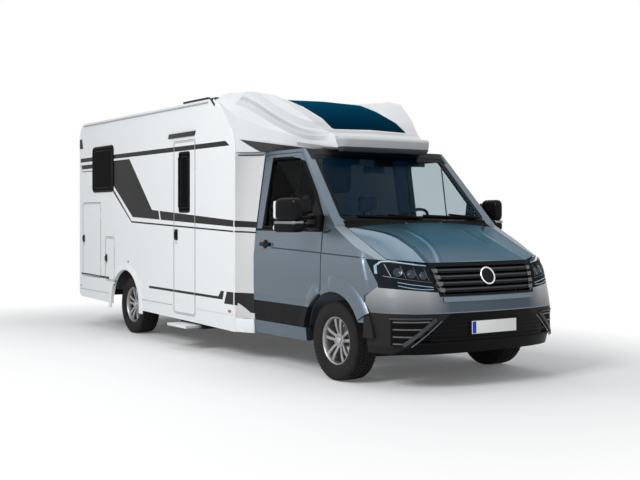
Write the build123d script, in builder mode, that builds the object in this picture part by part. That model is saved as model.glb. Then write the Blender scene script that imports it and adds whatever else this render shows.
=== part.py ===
"""Low-profile motorhome: a van cab and a flat-sided living body on one ladder chassis.

Millimetres. The origin is on the ground under the middle of the overall length; the nose points to -Y,
+Z is up and +X is the vehicle's left side. Distances written as "from the front axle" are added to front_axle.
"""

import os
from functools import cache
from math import hypot, sqrt

from build123d import *

os.makedirs("parts", exist_ok=True)

# ---------------------------------------------------------------- driving dimensions
overall_length = 7100
front_overhang = 990
wheelbase = 4490
front_axle = -overall_length / 2 + front_overhang
rear_axle = front_axle + wheelbase
nose_end = front_axle - front_overhang

tyre_radius = 357
tyre_width = 235
tyre_shoulder = 16
rim_radius = 216
wheel_x = 895
kingpin_x = 742

door_gap = 6
seat_gap = 0.3

# living body
body_half_width = 1100
wall = 34
roof_thickness = 40
body_front = front_axle + 1660
bumper_depth = 30
lamp_proud = 3
body_rear = overall_length / 2 - bumper_depth - lamp_proud
body_bottom = 450
body_top = 2730
body_corner_radius = 200
nose_curve_start = 2140
roof_front = front_axle + 2100
floor_top = 575
floor_thickness = 50
skirt_thickness = 26
rear_arch_radius = 440

# cab
cab_rear = front_axle + 1425
cab_back = body_front - 0.3
cab_floor_top = 545
sill_bottom = 305
arch_radius = 440
flare_width = 42
flare_depth = 14
flare_reach = 590
panel = 14
door_thickness = 58
door_bottom = 436
door_top = 2092
door_front = front_axle + 215
wing_seam = door_front - door_gap

# One row for each height of the cab's plan outline: height, nose in front of the axle, half width.
cab_levels = (
    (sill_bottom, 958, 985),
    (450, 988, 1003),
    (655, front_overhang, 1016),
    (790, 958, 1020),
    (930, 920, 1020),
    (1070, 858, 1014),
    (1340, 720, 988),
    (2130, 720, 872),
)
# The corner of the nose: share of the half width, and how far it lies behind the nose.
nose_corner = ((0.30, 12), (0.58, 48), (0.80, 128), (0.92, 250), (0.975, 420))
shoulder = 200

# One row for each station of the bonnet's crown: from the front axle, height on the centre line, drop at the edge.
bonnet_stations = (
    (-1010, 985, 130),
    (-858, 1082, 150),
    (-640, 1196, 190),
    (-380, 1300, 170),
    (-120, 1386, 110),
    (120, 1452, 40),
    (320, 1500, 20),
)
crown_half_width = 1150

# The windscreen: centre line at its foot and head, and how far its edges lie behind its centre.
screen_foot = (30, 1430)
screen_head = (690, 2130)
screen_bow = 60


def mirrored(part):
    """The same part on the other side of the vehicle."""
    return part.mirror(Plane.YZ)


def finish(part, name):
    """Label a finished piece and write it."""
    part.label = name
    export_step(part, f"parts/{name}.step")


# ---------------------------------------------------------------- cab envelope
def cab_plan(level, inset):
    """One closed plan outline of the cab."""
    height, nose, half_width = level
    width = half_width - inset
    tip = front_axle - nose + inset
    corner = [(share * width, tip + back) for share, back in nose_corner]
    nose_points = [(-x, y) for x, y in reversed(corner)] + [(0, tip)] + corner
    start = (-width, front_axle - shoulder)
    end = (width, front_axle - shoulder)
    with BuildSketch(Plane.XY.offset(height)) as outline:
        with BuildLine():
            Spline(start, *nose_points, end, tangents=((0, -1), (0, 1)))
            Line(end, (width, cab_back))
            Line((width, cab_back), (-width, cab_back))
            Line((-width, cab_back), start)
        make_face()
    return outline.sketch


def bonnet_space(inset):
    """Everything below the crowned bonnet surface."""
    sections = []
    for y, height, drop in bonnet_stations:
        edge = height - drop - inset
        with BuildSketch(Plane.XZ.offset(-(front_axle + y))) as outline:
            with BuildLine():
                Line((-crown_half_width, 0), (crown_half_width, 0))
                Line((crown_half_width, 0), (crown_half_width, edge))
                ThreePointArc((crown_half_width, edge), (0, height - inset), (-crown_half_width, edge))
                Line((-crown_half_width, edge), (-crown_half_width, 0))
            make_face()
        sections.append(outline.sketch)
    with BuildPart() as space:
        for section in sections:
            add(section)
        loft()
    return space.part


def cabin_space(inset):
    """Everything behind the bowed windscreen surface."""
    slope = (screen_head[0] - screen_foot[0]) / (screen_head[1] - screen_foot[1])
    low, high = 200, 2260
    sections = []
    for height in (low, high):
        centre = front_axle + screen_foot[0] + (height - screen_foot[1]) * slope + inset * 1.4
        with BuildSketch(Plane.XY.offset(height)) as outline:
            with BuildLine():
                ThreePointArc(
                    (-crown_half_width, centre + screen_bow), (0, centre), (crown_half_width, centre + screen_bow)
                )
                Line((crown_half_width, centre + screen_bow), (crown_half_width, cab_back + 300))
                Line((crown_half_width, cab_back + 300), (-crown_half_width, cab_back + 300))
                Line((-crown_half_width, cab_back + 300), (-crown_half_width, centre + screen_bow))
            make_face()
        sections.append(outline.sketch)
    with BuildPart() as space:
        for section in sections:
            add(section)
        loft(ruled=True)
    return space.part


@cache
def cab_envelope(inset):
    """The cab's closed outer form, moved inwards by a panel's depth."""
    with BuildPart() as form:
        for level in cab_levels:
            add(cab_plan(level, inset))
        loft(ruled=True)
        add(bonnet_space(inset).fuse(cabin_space(inset)), mode=Mode.INTERSECT)
    return form.part


def flare_form():
    """The broad pressed flares round both front arches, as rings with sloping faces."""
    flush = 1012
    with BuildPart() as left_flare:
        with BuildSketch(Plane.XY):
            with BuildLine():
                Polyline(
                    (flush - 25, arch_radius),
                    (1016 + flare_depth, arch_radius),
                    (1016 + flare_depth, arch_radius + 14),
                    (flush, flare_reach),
                    (flush - 25, flare_reach),
                    close=True,
                )
            make_face()
        revolve(axis=Axis.X)
        with Locations((0, 0, door_bottom - tyre_radius - 500)):
            Box(4000, 2000, 1000, mode=Mode.SUBTRACT)
    with BuildPart() as flares:
        add(Pos(0, front_axle, tyre_radius) * left_flare.part)
        add(mirrored(Pos(0, front_axle, tyre_radius) * left_flare.part))
    return flares.part


outer_form = cab_envelope(0) + flare_form()
panel_form = cab_envelope(panel)
door_form = cab_envelope(door_thickness)
lamp_form = cab_envelope(90)
panel_shell = outer_form.cut(panel_form)
door_shell = outer_form.cut(door_form)
lamp_shell = outer_form.cut(lamp_form)


# ---------------------------------------------------------------- outlines shared by neighbours
def side_prism(outline_points, low_x, high_x):
    """A side-view outline carried across the vehicle from low_x to high_x."""
    with BuildPart() as prism:
        with BuildSketch(Plane.YZ.offset(low_x)):
            with BuildLine():
                Polyline(*outline_points, close=True)
            make_face()
        extrude(amount=high_x - low_x)
    return prism.part


def front_prism(outline_points, low_y, high_y):
    """A front-view outline carried along the vehicle from low_y to high_y."""
    with BuildPart() as prism:
        with BuildSketch(Plane.XZ.offset(-low_y)):
            with BuildLine():
                Polyline(*outline_points, close=True)
            make_face()
        extrude(amount=low_y - high_y)
    return prism.part


def arch_prism(axle_y, radius, low_x, high_x):
    """A wheel arch's round cutter with straight sides below the axle."""
    with BuildPart() as prism:
        with BuildSketch(Plane.YZ.offset(low_x)):
            with Locations((axle_y, tyre_radius)):
                Circle(radius)
            with Locations((axle_y, tyre_radius / 2 - 100)):
                Rectangle(2 * radius, tyre_radius + 200)
        extrude(amount=high_x - low_x)
    return prism.part


# The cab door in side view, with the front lower corner cut round the wheel arch.
window_slope = 1.12
belt = 1368
window_front = front_axle + 150
frame_width = 48
door_head_y = front_axle + 670
door_arc_radius = arch_radius + flare_width + door_gap


def door_face(gap):
    """The cab door's outline, grown by a gap on every side."""
    radius = door_arc_radius - gap
    low = door_bottom - gap
    high = door_top + gap
    front = door_front - gap
    rear = cab_rear + gap
    arc_low = (front_axle + sqrt(radius**2 - (tyre_radius - low) ** 2), low)
    arc_high = (front, tyre_radius + sqrt(radius**2 - (front - front_axle) ** 2))
    middle = radius * sqrt(0.5)
    frame_line = window_front - frame_width * hypot(1, 1 / window_slope) - gap
    foot_z = belt + (front - frame_line) * window_slope
    head_y = frame_line + (high - belt) / window_slope
    with BuildSketch(Plane.YZ) as outline:
        with BuildLine():
            ThreePointArc(arc_low, (front_axle + middle, tyre_radius + middle), arc_high)
            Line(arc_high, (front, foot_z))
            Line((front, foot_z), (head_y, high))
            Line((head_y, high), (rear, high))
            Line((rear, high), (rear, low))
            Line((rear, low), arc_low)
        make_face()
        fillet(outline.vertices().group_by(Axis.X)[-1].sort_by(Axis.Y)[-1], 70)
    return outline.sketch


def window_face(gap):
    """The cab door's window, grown by a gap."""
    rear = front_axle + 1262 + gap
    top = 2040 + gap
    low = belt - gap
    foot = door_front + 62 - gap
    line_shift = gap * hypot(1, 1 / window_slope)
    foot_z = belt + (foot - window_front + line_shift) * window_slope
    head = window_front - line_shift + (top - belt) / window_slope
    with BuildSketch(Plane.YZ) as outline:
        with BuildLine():
            Polyline((foot, low), (rear, low), (rear, top), (head, top), (foot, foot_z), close=True)
        make_face()
        fillet(outline.vertices().group_by(Axis.Y)[-1], 60)
    return outline.sketch


def side_face(face, low_x, high_x):
    """A side-view face carried across the vehicle."""
    with BuildPart() as prism:
        extrude(Pos(low_x, 0, 0) * face, amount=high_x - low_x, dir=(1, 0, 0))
    return prism.part


def front_face(face, low_y, high_y):
    """A front-view face carried along the vehicle."""
    with BuildPart() as prism:
        extrude(Pos(0, low_y, 0) * face, amount=high_y - low_y, dir=(0, 1, 0))
    return prism.part


# The windscreen's opening in front view.
glass_foot = (878, 1436)
glass_head = (800, 2074)


def screen_face(gap):
    """The windscreen's outline in front view, grown by a gap."""
    with BuildSketch(Plane.XZ) as outline:
        with BuildLine():
            Polyline(
                (-glass_foot[0] - gap, glass_foot[1] - gap),
                (glass_foot[0] + gap, glass_foot[1] - gap),
                (glass_head[0] + gap, glass_head[1] + gap),
                (-glass_head[0] - gap, glass_head[1] + gap),
                close=True,
            )
        make_face()
        fillet(outline.vertices(), 45)
    return outline.sketch


# The headlamp, in front view and in side view.
lamp_inner = 600
lamp_front_view = ((lamp_inner, 1068), (1100, 1122), (1100, 880), (560, 828))
lamp_side_view = (
    (nose_end - 100, 700),
    (front_axle - 640, 700),
    (front_axle - 598, 905),
    (front_axle - 425, 1125),
    (front_axle - 425, 1300),
    (nose_end - 100, 1300),
)
grille_view = ((-594, 1072), (594, 1072), (552, 792), (-552, 792))
bonnet_rear = front_axle - 25
bonnet_half_width = 872


far = 1400
with BuildPart() as lamp_zone_left:
    add(front_prism(lamp_front_view, nose_end - 100, front_axle))
    add(side_prism(lamp_side_view, 0, far), mode=Mode.INTERSECT)
with BuildPart() as lamp_zones:
    add(lamp_zone_left.part)
    add(mirrored(lamp_zone_left.part))
bonnet_zone = front_prism(
    (
        (-bonnet_half_width, 1108),
        (-594, 1078),
        (594, 1078),
        (bonnet_half_width, 1108),
        (bonnet_half_width, 1800),
        (-bonnet_half_width, 1800),
    ),
    nose_end - 100,
    bonnet_rear,
)

# ---------------------------------------------------------------- bonnet
bonnet_axis_y = bonnet_rear + 4
bonnet_axis_z = 1414
bonnet_eye_radius = 5
bonnet_eye_length = 26
bonnet_eye_x = 213
cowl_eye_x = bonnet_eye_x + bonnet_eye_length + seat_gap


def bonnet_eyes(eye_x, leaf_low_y, leaf_high_y):
    """One panel's eyes and leaves on the bonnet's hinge line."""
    with BuildPart() as eyes:
        for side in (-1, 1):
            with Locations(Location((side * eye_x, bonnet_axis_y, bonnet_axis_z), (0, 90, 0))):
                Cylinder(bonnet_eye_radius, bonnet_eye_length)
            with Locations((side * eye_x, (leaf_low_y + leaf_high_y) / 2, bonnet_axis_z - 7)):
                Box(bonnet_eye_length, leaf_high_y - leaf_low_y, 9)
    return eyes.part


def bonnet_notches(eye_x, outward):
    """Room in one panel for the other panel's eyes."""
    with BuildPart() as notches:
        for side in (-1, 1):
            with Locations((side * (eye_x + outward * 1.5), bonnet_axis_y, bonnet_axis_z)):
                Box(bonnet_eye_length + 3 + 0.6, 26, 60)
    return notches.part


with BuildPart() as bonnet:
    add(panel_shell)
    add(bonnet_zone, mode=Mode.INTERSECT)
    add(bonnet_notches(cowl_eye_x, 1), mode=Mode.SUBTRACT)
    add(bonnet_eyes(bonnet_eye_x, bonnet_rear - 24, bonnet_axis_y))
finish(bonnet.part, "bonnet")

# ---------------------------------------------------------------- grille with its slats
slat_pitch = 54
slat_gap = 18
with BuildPart() as grille:
    add(lamp_shell)
    add(front_prism(grille_view, nose_end - 100, front_axle - 600), mode=Mode.INTERSECT)
    with BuildSketch(Plane.XZ.offset(-(nose_end - 100))):
        for step in range(1, 6):
            with Locations((0, 792 + step * slat_pitch - slat_pitch / 2)):
                Rectangle(1060, slat_gap)
    extrude(amount=-(front_overhang - 300), mode=Mode.SUBTRACT)
finish(grille.part, "grille")

# ---------------------------------------------------------------- headlamps
with BuildPart() as headlamps:
    add(lamp_shell)
    add(lamp_zones.part, mode=Mode.INTERSECT)
finish(headlamps.part, "headlamps")

# ---------------------------------------------------------------- front wings and bumper
bumper_rear = front_axle - 462
arch_cutter = arch_prism(front_axle, arch_radius, -far, far)
grown_bonnet = front_prism(
    (
        (-bonnet_half_width - door_gap, 1102),
        (-600, 1072),
        (600, 1072),
        (bonnet_half_width + door_gap, 1102),
        (bonnet_half_width + door_gap, 1900),
        (-bonnet_half_width - door_gap, 1900),
    ),
    nose_end - 100,
    bonnet_rear + door_gap,
)
wing_side_view = (
    (bumper_rear, 560),
    (bumper_rear, 790),
    (front_axle - 640, 905),
    (front_axle - 700, 1403),
    (bonnet_rear, 1403),
    (wing_seam, 1357),
    (wing_seam, 560),
)


with BuildPart() as left_wing:
    add(panel_shell)
    add(side_prism(wing_side_view, 620, far), mode=Mode.INTERSECT)
    with BuildSketch(Plane.YZ.offset(600)):
        with Locations((bumper_rear - 500, 400)):
            Rectangle(1000, 800)
    extrude(amount=far, mode=Mode.SUBTRACT)
    add(arch_cutter, mode=Mode.SUBTRACT)
    add(grown_bonnet, mode=Mode.SUBTRACT)
    add(lamp_zones.part, mode=Mode.SUBTRACT)
    with BuildSketch(Plane.XY.offset(600)):
        with Locations((0, bonnet_rear)):
            Rectangle(2 * (bonnet_half_width + door_gap), 2 * 400)
        # the flare's rear end is bevelled where the door's front edge swings past
        Polygon(
            (1014, wing_seam + 1),
            (1014 + 2 * flare_depth, wing_seam + 1),
            (1014 + 2 * flare_depth, wing_seam - 24),
            align=None,
        )
    extrude(amount=2000, mode=Mode.SUBTRACT)
with BuildPart() as wings:
    add(left_wing.part)
    add(mirrored(left_wing.part))
finish(wings.part, "front_wings")

with BuildPart() as front_bumper:
    add(outer_form)
    add(cab_envelope(28), mode=Mode.SUBTRACT)
    with BuildSketch(Plane.YZ.offset(-far)):
        with BuildLine():
            Polyline(
                (nose_end - 50, 0),
                (bumper_rear - 1, 0),
                (bumper_rear - 1, 788),
                (front_axle - 640, 903),
                (nose_end - 50, 903),
                close=True,
            )
        make_face()
    extrude(amount=2 * far, mode=Mode.INTERSECT)
    add(front_prism(grille_view, nose_end - 100, front_axle), mode=Mode.SUBTRACT)
    add(lamp_zones.part, mode=Mode.SUBTRACT)
    add(arch_cutter, mode=Mode.SUBTRACT)
    with BuildSketch(Plane.XZ.offset(-(nose_end - 100))):
        for side in (-1, 1):
            for row in range(3):
                with Locations((side * 775, 430 + row * 62)):
                    Rectangle(250, 34)
    extrude(amount=-500, mode=Mode.SUBTRACT)
finish(front_bumper.part, "front_bumper")

# ---------------------------------------------------------------- cab doors with their hinges
hinge_in = 34
hinge_ahead = 50
hinge_x = 1020 - hinge_in
hinge_y = door_front - hinge_ahead
hinge_pin_radius = 5
hinge_eye = 4
hinge_heights = (850, 1040)
hinge_height = 34
hinge_arc = hypot(hinge_in, hinge_ahead)
window_cut = side_face(window_face(0), 0, far)


def hinge_strap(low):
    """The strap from a hinge pin, round behind the wing's edge, to the door's front face."""
    with BuildPart() as strap:
        with BuildSketch(Plane.XY.offset(low)):
            with BuildLine():
                Polyline(
                    (hinge_x, hinge_y - 5),
                    (hinge_x - 46, hinge_y + 14),
                    (hinge_x - 56, hinge_y + 80),
                    (hinge_x - 16, hinge_y + 80),
                    (hinge_x - 38, hinge_y + 36),
                    (hinge_x - 36, hinge_y + 22),
                    (hinge_x, hinge_y + 8),
                    close=True,
                )
            make_face()
            with Locations((hinge_x, hinge_y)):
                Circle(hinge_pin_radius + hinge_eye)
                Circle(hinge_pin_radius + 0.06, mode=Mode.SUBTRACT)
        extrude(amount=hinge_height)
    return strap.part


side_band = front_prism(
    [(half_width - door_thickness - 2, height) for height, _, half_width in cab_levels] + [(far, 2130), (far, 305)],
    front_axle,
    cab_back,
)

with BuildPart() as left_cab_door:
    add(door_shell)
    add(side_face(door_face(0), 0, far), mode=Mode.INTERSECT)
    add(side_band, mode=Mode.INTERSECT)
    # The front face is rounded back so that it swings clear of the wing.
    with BuildSketch():
        with Locations((hinge_x, hinge_y)):
            Circle(hinge_arc)
    extrude(amount=door_top + 100, mode=Mode.SUBTRACT)
    add(window_cut, mode=Mode.SUBTRACT)
    # The rear face is set back inside so that it clears the post.
    with BuildSketch():
        with BuildLine():
            Polyline(
                (700, cab_rear - 26),
                (980, cab_rear - 12),
                (1040, cab_rear),
                (1040, cab_rear + 60),
                (700, cab_rear + 60),
                close=True,
            )
        make_face()
    extrude(amount=door_top + 100, mode=Mode.SUBTRACT)
    # Two goose-necked hinge straps end in eyes round the pins.
    for height in hinge_heights:
        add(hinge_strap(height))

with BuildPart() as left_door_pane:
    add(cab_envelope(14))
    add(cab_envelope(20), mode=Mode.SUBTRACT)
    add(side_face(window_face(-seat_gap), 0, far), mode=Mode.INTERSECT)
finish(left_door_pane.part, "left_cab_door_pane")
finish(mirrored(left_door_pane.part), "right_cab_door_pane")

# ---------------------------------------------------------------- windscreen and cowl
screen_thickness = 7
with BuildPart() as windscreen:
    add(cab_envelope(3))
    add(cab_envelope(3 + screen_thickness), mode=Mode.SUBTRACT)
    add(front_face(screen_face(-seat_gap), bonnet_rear, bonnet_rear + 1200), mode=Mode.INTERSECT)
finish(windscreen.part, "windscreen")

cowl_top = glass_foot[1] - seat_gap
cowl_half = glass_foot[0] - 11 - seat_gap
with BuildPart() as cowl:
    add(panel_shell)
    with BuildSketch(Plane.XZ.offset(-(bonnet_rear + door_gap + 2))):
        Polygon(
            (-cowl_half, 1250),
            (cowl_half, 1250),
            (cowl_half, cowl_top),
            (-cowl_half, cowl_top),
            align=None,
        )
    extrude(amount=-300, mode=Mode.INTERSECT)
    add(bonnet_notches(bonnet_eye_x, -1), mode=Mode.SUBTRACT)
    add(bonnet_eyes(cowl_eye_x, bonnet_axis_y, bonnet_rear + 30))
finish(cowl.part, "cowl")

# ---------------------------------------------------------------- cab shell
floor_plate = 20
toe_high = (front_axle + 126, 880)
toe_low = (front_axle + 500, 577)
post_view = (
    (bonnet_rear + door_gap + 2, 1404),
    (wing_seam, 1358),
    (wing_seam, 1330),
    (cab_back, 1330),
    (cab_back, 2200),
    (bonnet_rear + door_gap + 2, 2200),
)
with BuildPart() as cab_shell:
    # pillars, header and roof frame
    add(door_shell)
    add(side_prism(post_view, -far, far), mode=Mode.INTERSECT)
    with BuildSketch(Plane.YZ.offset(-far)):
        with Locations((cab_rear + 8 + 500, 1700)):
            Rectangle(1000, 1400)
    extrude(amount=2 * far, mode=Mode.SUBTRACT)
    with BuildSketch(Plane.XY.offset(1900)):
        with Locations((0, (front_axle + 900 + cab_back + 100) / 2)):
            Rectangle(1500, cab_back + 100 - front_axle - 900)
    extrude(amount=400, mode=Mode.SUBTRACT)
    add(front_face(screen_face(0), bonnet_rear - 200, front_axle + 900), mode=Mode.SUBTRACT)
    with BuildSketch(Plane.XY.offset(1000)):
        with Locations((0, bonnet_rear)):
            Rectangle(2 * (cowl_half + seat_gap), 460)
    extrude(amount=glass_foot[1] - 999, mode=Mode.SUBTRACT)
    add(side_face(door_face(door_gap), -far, far), mode=Mode.SUBTRACT)


def cab_half_width(height):
    """Half the cab's width at a height."""
    for (low, _, low_width), (high, _, high_width) in zip(cab_levels, cab_levels[1:]):
        if height <= high:
            break
    return low_width + (height - low) / (high - low) * (high_width - low_width)


def box(low, high, mode=Mode.ADD):
    """An upright block between two opposite corners."""
    with Locations(tuple((a + b) / 2 for a, b in zip(low, high))):
        Box(*(b - a for a, b in zip(low, high)), mode=mode)


post_depth = 100
post_front = front_axle + 92
post_rear = front_axle + 130
hoop_front = cab_rear + 10
strip_half_width = 936
ear = 8
post_form = cab_envelope(post_depth)

with BuildPart() as hinge_posts:
    add(cab_envelope(panel + seat_gap))
    add(post_form, mode=Mode.SUBTRACT)
    add(side_prism(((post_front, 850), (post_rear, 830), (post_rear, 1404), (post_front, 1404)), -far, far),
        mode=Mode.INTERSECT)
with BuildPart() as left_ears:
    for height in hinge_heights:
        for low in (height - ear - seat_gap, height + hinge_height + seat_gap):
            box(
                (hinge_x - hinge_pin_radius - hinge_eye, post_rear - 2, low),
                (hinge_x + hinge_pin_radius, hinge_y + hinge_pin_radius, low + ear),
            )
        with Locations((hinge_x, hinge_y, height - ear - seat_gap)):
            Cylinder(
                hinge_pin_radius,
                hinge_height + 2 * (ear + seat_gap),
                align=(Align.CENTER, Align.CENTER, Align.MIN),
            )
with BuildPart() as rear_hoop:
    add(cab_envelope(32))
    add(cab_envelope(72), mode=Mode.SUBTRACT)
    add(
        side_prism(
            (
                (hoop_front, sill_bottom),
                (hoop_front + 60, sill_bottom),
                (hoop_front + 60, 2135),
                (hoop_front - 200, 2135),
                (hoop_front - 200, door_top + door_gap + 2),
                (hoop_front, door_top + door_gap + 2),
            ),
            -far,
            far,
        ),
        mode=Mode.INTERSECT,
    )
with BuildPart() as sills:
    add(door_shell)
    add(
        side_prism(
            (
                (front_axle + 300, sill_bottom - 5),
                (cab_back - 1, sill_bottom - 5),
                (cab_back - 1, door_bottom - door_gap),
                (front_axle + 300, door_bottom - door_gap),
            ),
            -far,
            far,
        ),
        mode=Mode.INTERSECT,
    )
    add(arch_prism(front_axle, door_arc_radius - 1, -far, far), mode=Mode.SUBTRACT)
with BuildPart() as cab_pan:
    # bulkhead, toe board and floor as one folded sheet
    with BuildSketch(Plane.YZ.offset(-strip_half_width)):
        with BuildLine():
            Polyline(
                (front_axle + 112, 1395),
                (front_axle + 112, 880),
                (front_axle + 490, 572),
                (front_axle + 490, cab_floor_top - floor_plate),
                (cab_back, cab_floor_top - floor_plate),
                (cab_back, cab_floor_top),
                (front_axle + 512, cab_floor_top),
                (front_axle + 512, 582),
                (front_axle + 132, 891),
                (front_axle + 132, 1395),
                close=True,
            )
        make_face()
    extrude(amount=2 * strip_half_width)
    # arch liners
    liner_radius = 456
    liner = 8
    for side in (-1, 1):
        low_x, high_x = sorted((side * 600, side * 990))
        with BuildSketch(Plane.YZ.offset(low_x)):
            with Locations((front_axle, tyre_radius)):
                Circle(liner_radius + liner)
                Circle(liner_radius, mode=Mode.SUBTRACT)
            with Locations((front_axle, tyre_radius - 400)):
                Rectangle(1200, 1000, mode=Mode.SUBTRACT)
        extrude(amount=high_x - low_x)
        low, high = sorted((side * 604, side * 640))
        box((low, front_axle + 60, tyre_radius + liner_radius), (high, front_axle + 116, 900))
    add(cab_envelope(28), mode=Mode.INTERSECT)
    for side in (-1, 1):
        low, high = sorted((side * 890, side * strip_half_width))
        box((low, front_axle + 492, sill_bottom + 5), (high, cab_back, cab_floor_top))
with BuildPart() as cab_body:
    add(cab_shell.part)
    add(hinge_posts.part)
    add(left_ears.part)
    add(mirrored(left_ears.part))
    add(rear_hoop.part)
    add(sills.part)
    add(cab_pan.part)
finish(cab_body.part, "cab_shell")

finish(left_cab_door.part, "left_cab_door")
finish(mirrored(left_cab_door.part), "right_cab_door")

# ---------------------------------------------------------------- corner panels between cab and living body
corner_thickness = 12
corner_front = cab_rear + 10
corner_levels = (430, 1070, 1340, 2127)


def corner_plan(height):
    """The corner panel's concave plan outline on the left side."""
    inner = cab_half_width(height)
    outer = body_half_width
    front = (inner, corner_front)
    rear = (outer, body_front)
    middle = (inner + 0.28 * (outer - inner), corner_front + 0.55 * (body_front - corner_front))
    back = corner_thickness
    with BuildSketch(Plane.XY.offset(height)) as outline:
        with BuildLine():
            ThreePointArc(front, middle, rear)
            Line(rear, (outer - 2 * back, body_front))
            ThreePointArc(
                (outer - 2 * back, body_front), (middle[0] - back, middle[1] + back / 2), (inner - back, corner_front)
            )
            Line((inner - back, corner_front), front)
        make_face()
    return outline.sketch


with BuildPart() as left_corner:
    for height in corner_levels:
        add(corner_plan(height))
    loft(ruled=True)
with BuildPart() as corner_panels:
    add(left_corner.part)
    add(mirrored(left_corner.part))
finish(corner_panels.part, "corner_panels")

# ---------------------------------------------------------------- fairing over the cab
# One row for each station behind the front axle. After the station come the half width of the foot, then
# half width and height of the lower edge, the shoulder, the ridge and the valley beside the skylight, and
# last the height on the centre line.
fairing_stations = (
    (585, 500, (520, 2150), (522, 2165), (500, 2236), (440, 2240), 2246),
    (800, 610, (633, 2150), (640, 2200), (604, 2338), (490, 2330), 2342),
    (1000, 715, (740, 2168), (748, 2262), (690, 2492), (500, 2460), 2474),
    (1345, 870, (932, 2240), (944, 2370), (812, 2706), (505, 2606), 2622),
    (1645, 1088, (1100, 2272), (1100, 2500), (885, 2768), (515, 2702), 2716),
    (2100, 1088, (1100, 2300), (1100, 2722), (950, 2792), (540, 2768), 2776),
)
fairing_foot = 2131


def fairing_form(inset):
    """The fairing's closed outer form, moved inwards by its wall."""
    with BuildPart() as form:
        for y, foot, edge, brow, ridge, valley, top in fairing_stations:
            station = front_axle + y + (inset if y < 650 else 0)
            half = (
                (foot - inset, fairing_foot + inset / 2),
                (edge[0] - inset, edge[1]),
                (brow[0] - inset, brow[1]),
                (ridge[0] - inset / 2, ridge[1] - inset),
                (valley[0], valley[1] - inset),
            )
            with BuildSketch(Plane.XZ.offset(-station)):
                with BuildLine():
                    Polyline(*half, (0, top - inset), *[(-x, z) for x, z in reversed(half)], close=True)
                make_face()
        loft(ruled=True)
    return form.part


fairing_wall = 24
sky_front = front_axle + 815
sky_rear = front_axle + 1690
sky_front_half = 466
sky_rear_half = 474


def sky_prism(gap):
    """The skylight's plan outline, grown by a gap, carried upwards."""
    with BuildPart() as prism:
        with BuildSketch(Plane.XY.offset(2200)) as outline:
            with BuildLine():
                Polyline(
                    (-sky_front_half - gap, sky_front - gap),
                    (sky_front_half + gap, sky_front - gap),
                    (sky_rear_half + gap, sky_rear + gap),
                    (-sky_rear_half - gap, sky_rear + gap),
                    close=True,
                )
            make_face()
            fillet(outline.vertices(), 30)
        extrude(amount=900)
    return prism.part


def behind_nose_curve(x_half, gap):
    """Everything behind the swept-back front edge of the living body."""
    with BuildPart() as prism:
        with BuildSketch(Plane.YZ.offset(-x_half)):
            with BuildLine():
                Line((body_front - gap, 0), (body_front - gap, nose_curve_start))
                Spline(
                    (body_front - gap, nose_curve_start),
                    (front_axle + 1792 - gap, 2452),
                    (roof_front - gap, body_top),
                    tangents=((0, 1), (1, 0.72)),
                )
                Line((roof_front - gap, body_top), (roof_front - gap, 3400))
                Line((roof_front - gap, 3400), (body_rear + 400, 3400))
                Line((body_rear + 400, 3400), (body_rear + 400, 0))
                Line((body_rear + 400, 0), (body_front - gap, 0))
            make_face()
        extrude(amount=2 * x_half)
    return prism.part


outer_fairing = fairing_form(0)
with BuildPart() as fairing:
    add(outer_fairing)
    add(fairing_form(fairing_wall), mode=Mode.SUBTRACT)
    add(sky_prism(0), mode=Mode.SUBTRACT)
    add(behind_nose_curve(far, 1), mode=Mode.SUBTRACT)
    # open underneath, over the cab
    with BuildSketch(Plane.XY.offset(fairing_foot - 50)):
        Polygon(
            (-420, front_axle + 700),
            (420, front_axle + 700),
            (800, front_axle + 1345),
            (800, front_axle + 2500),
            (-800, front_axle + 2500),
            (-800, front_axle + 1345),
            align=None,
        )
    extrude(amount=50 + fairing_wall, mode=Mode.SUBTRACT)
finish(fairing.part, "overcab_fairing")

with BuildPart() as skylight:
    add(outer_fairing)
    add(sky_prism(-seat_gap), mode=Mode.INTERSECT)
    add(Pos(0, 0, -9) * outer_fairing, mode=Mode.SUBTRACT)
finish(skylight.part, "skylight")

visor_thickness = 26
with BuildPart() as front_visor:
    with BuildSketch(Plane.XZ.offset(-(front_axle + 585 - seat_gap))):
        with BuildLine():
            Polyline(
                (-560, 2108), (560, 2108), (522, 2160), (530, 2250), (-530, 2250), (-522, 2160), close=True
            )
        make_face()
    extrude(amount=visor_thickness)
    chamfer(front_visor.faces().sort_by(Axis.Y)[0].edges(), 8)
finish(front_visor.part, "front_visor")

# ---------------------------------------------------------------- living body
roof_under = body_top - roof_thickness
entrance = (front_axle + 2556, front_axle + 3106, 372, 2320)
garage = (front_axle + 5300, front_axle + 5960, 660, 1650)
service = (front_axle + 4830, front_axle + 5150, 636, 1200)
rear_window = (front_axle + 4865, front_axle + 5580, 1785, 2390)
dinette_window = (front_axle + 2650, front_axle + 3310, 1760, 2190)
left_garage = (front_axle + 5300, front_axle + 5960, 660, 1200)
window_panel = 22


def rounded_panel(rect, gap, radius, low_x, high_x):
    """A rounded rectangle of the side view, carried across the vehicle."""
    front, rear, low, high = rect
    with BuildPart() as prism:
        with BuildSketch(Plane.YZ.offset(low_x)):
            with Locations(((front + rear) / 2, (low + high) / 2)):
                RectangleRounded(rear - front + 2 * gap, high - low + 2 * gap, radius + gap)
        extrude(amount=high_x - low_x)
    return prism.part


def body_side(low_x, high_x, top, rear, radius):
    """The living body's side outline, carried across the vehicle."""
    with BuildPart() as prism:
        with BuildSketch(Plane.YZ.offset(low_x)):
            with BuildLine():
                Line((body_front, body_bottom), (rear, body_bottom))
                Line((rear, body_bottom), (rear, top - radius))
                RadiusArc((rear, top - radius), (rear - radius, top), -radius)
                Line((rear - radius, top), (body_front, top))
                Line((body_front, top), (body_front, body_bottom))
            make_face()
        extrude(amount=high_x - low_x)
    return prism.part


hinge_tube_radius = 6
hinge_notch = 11


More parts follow.
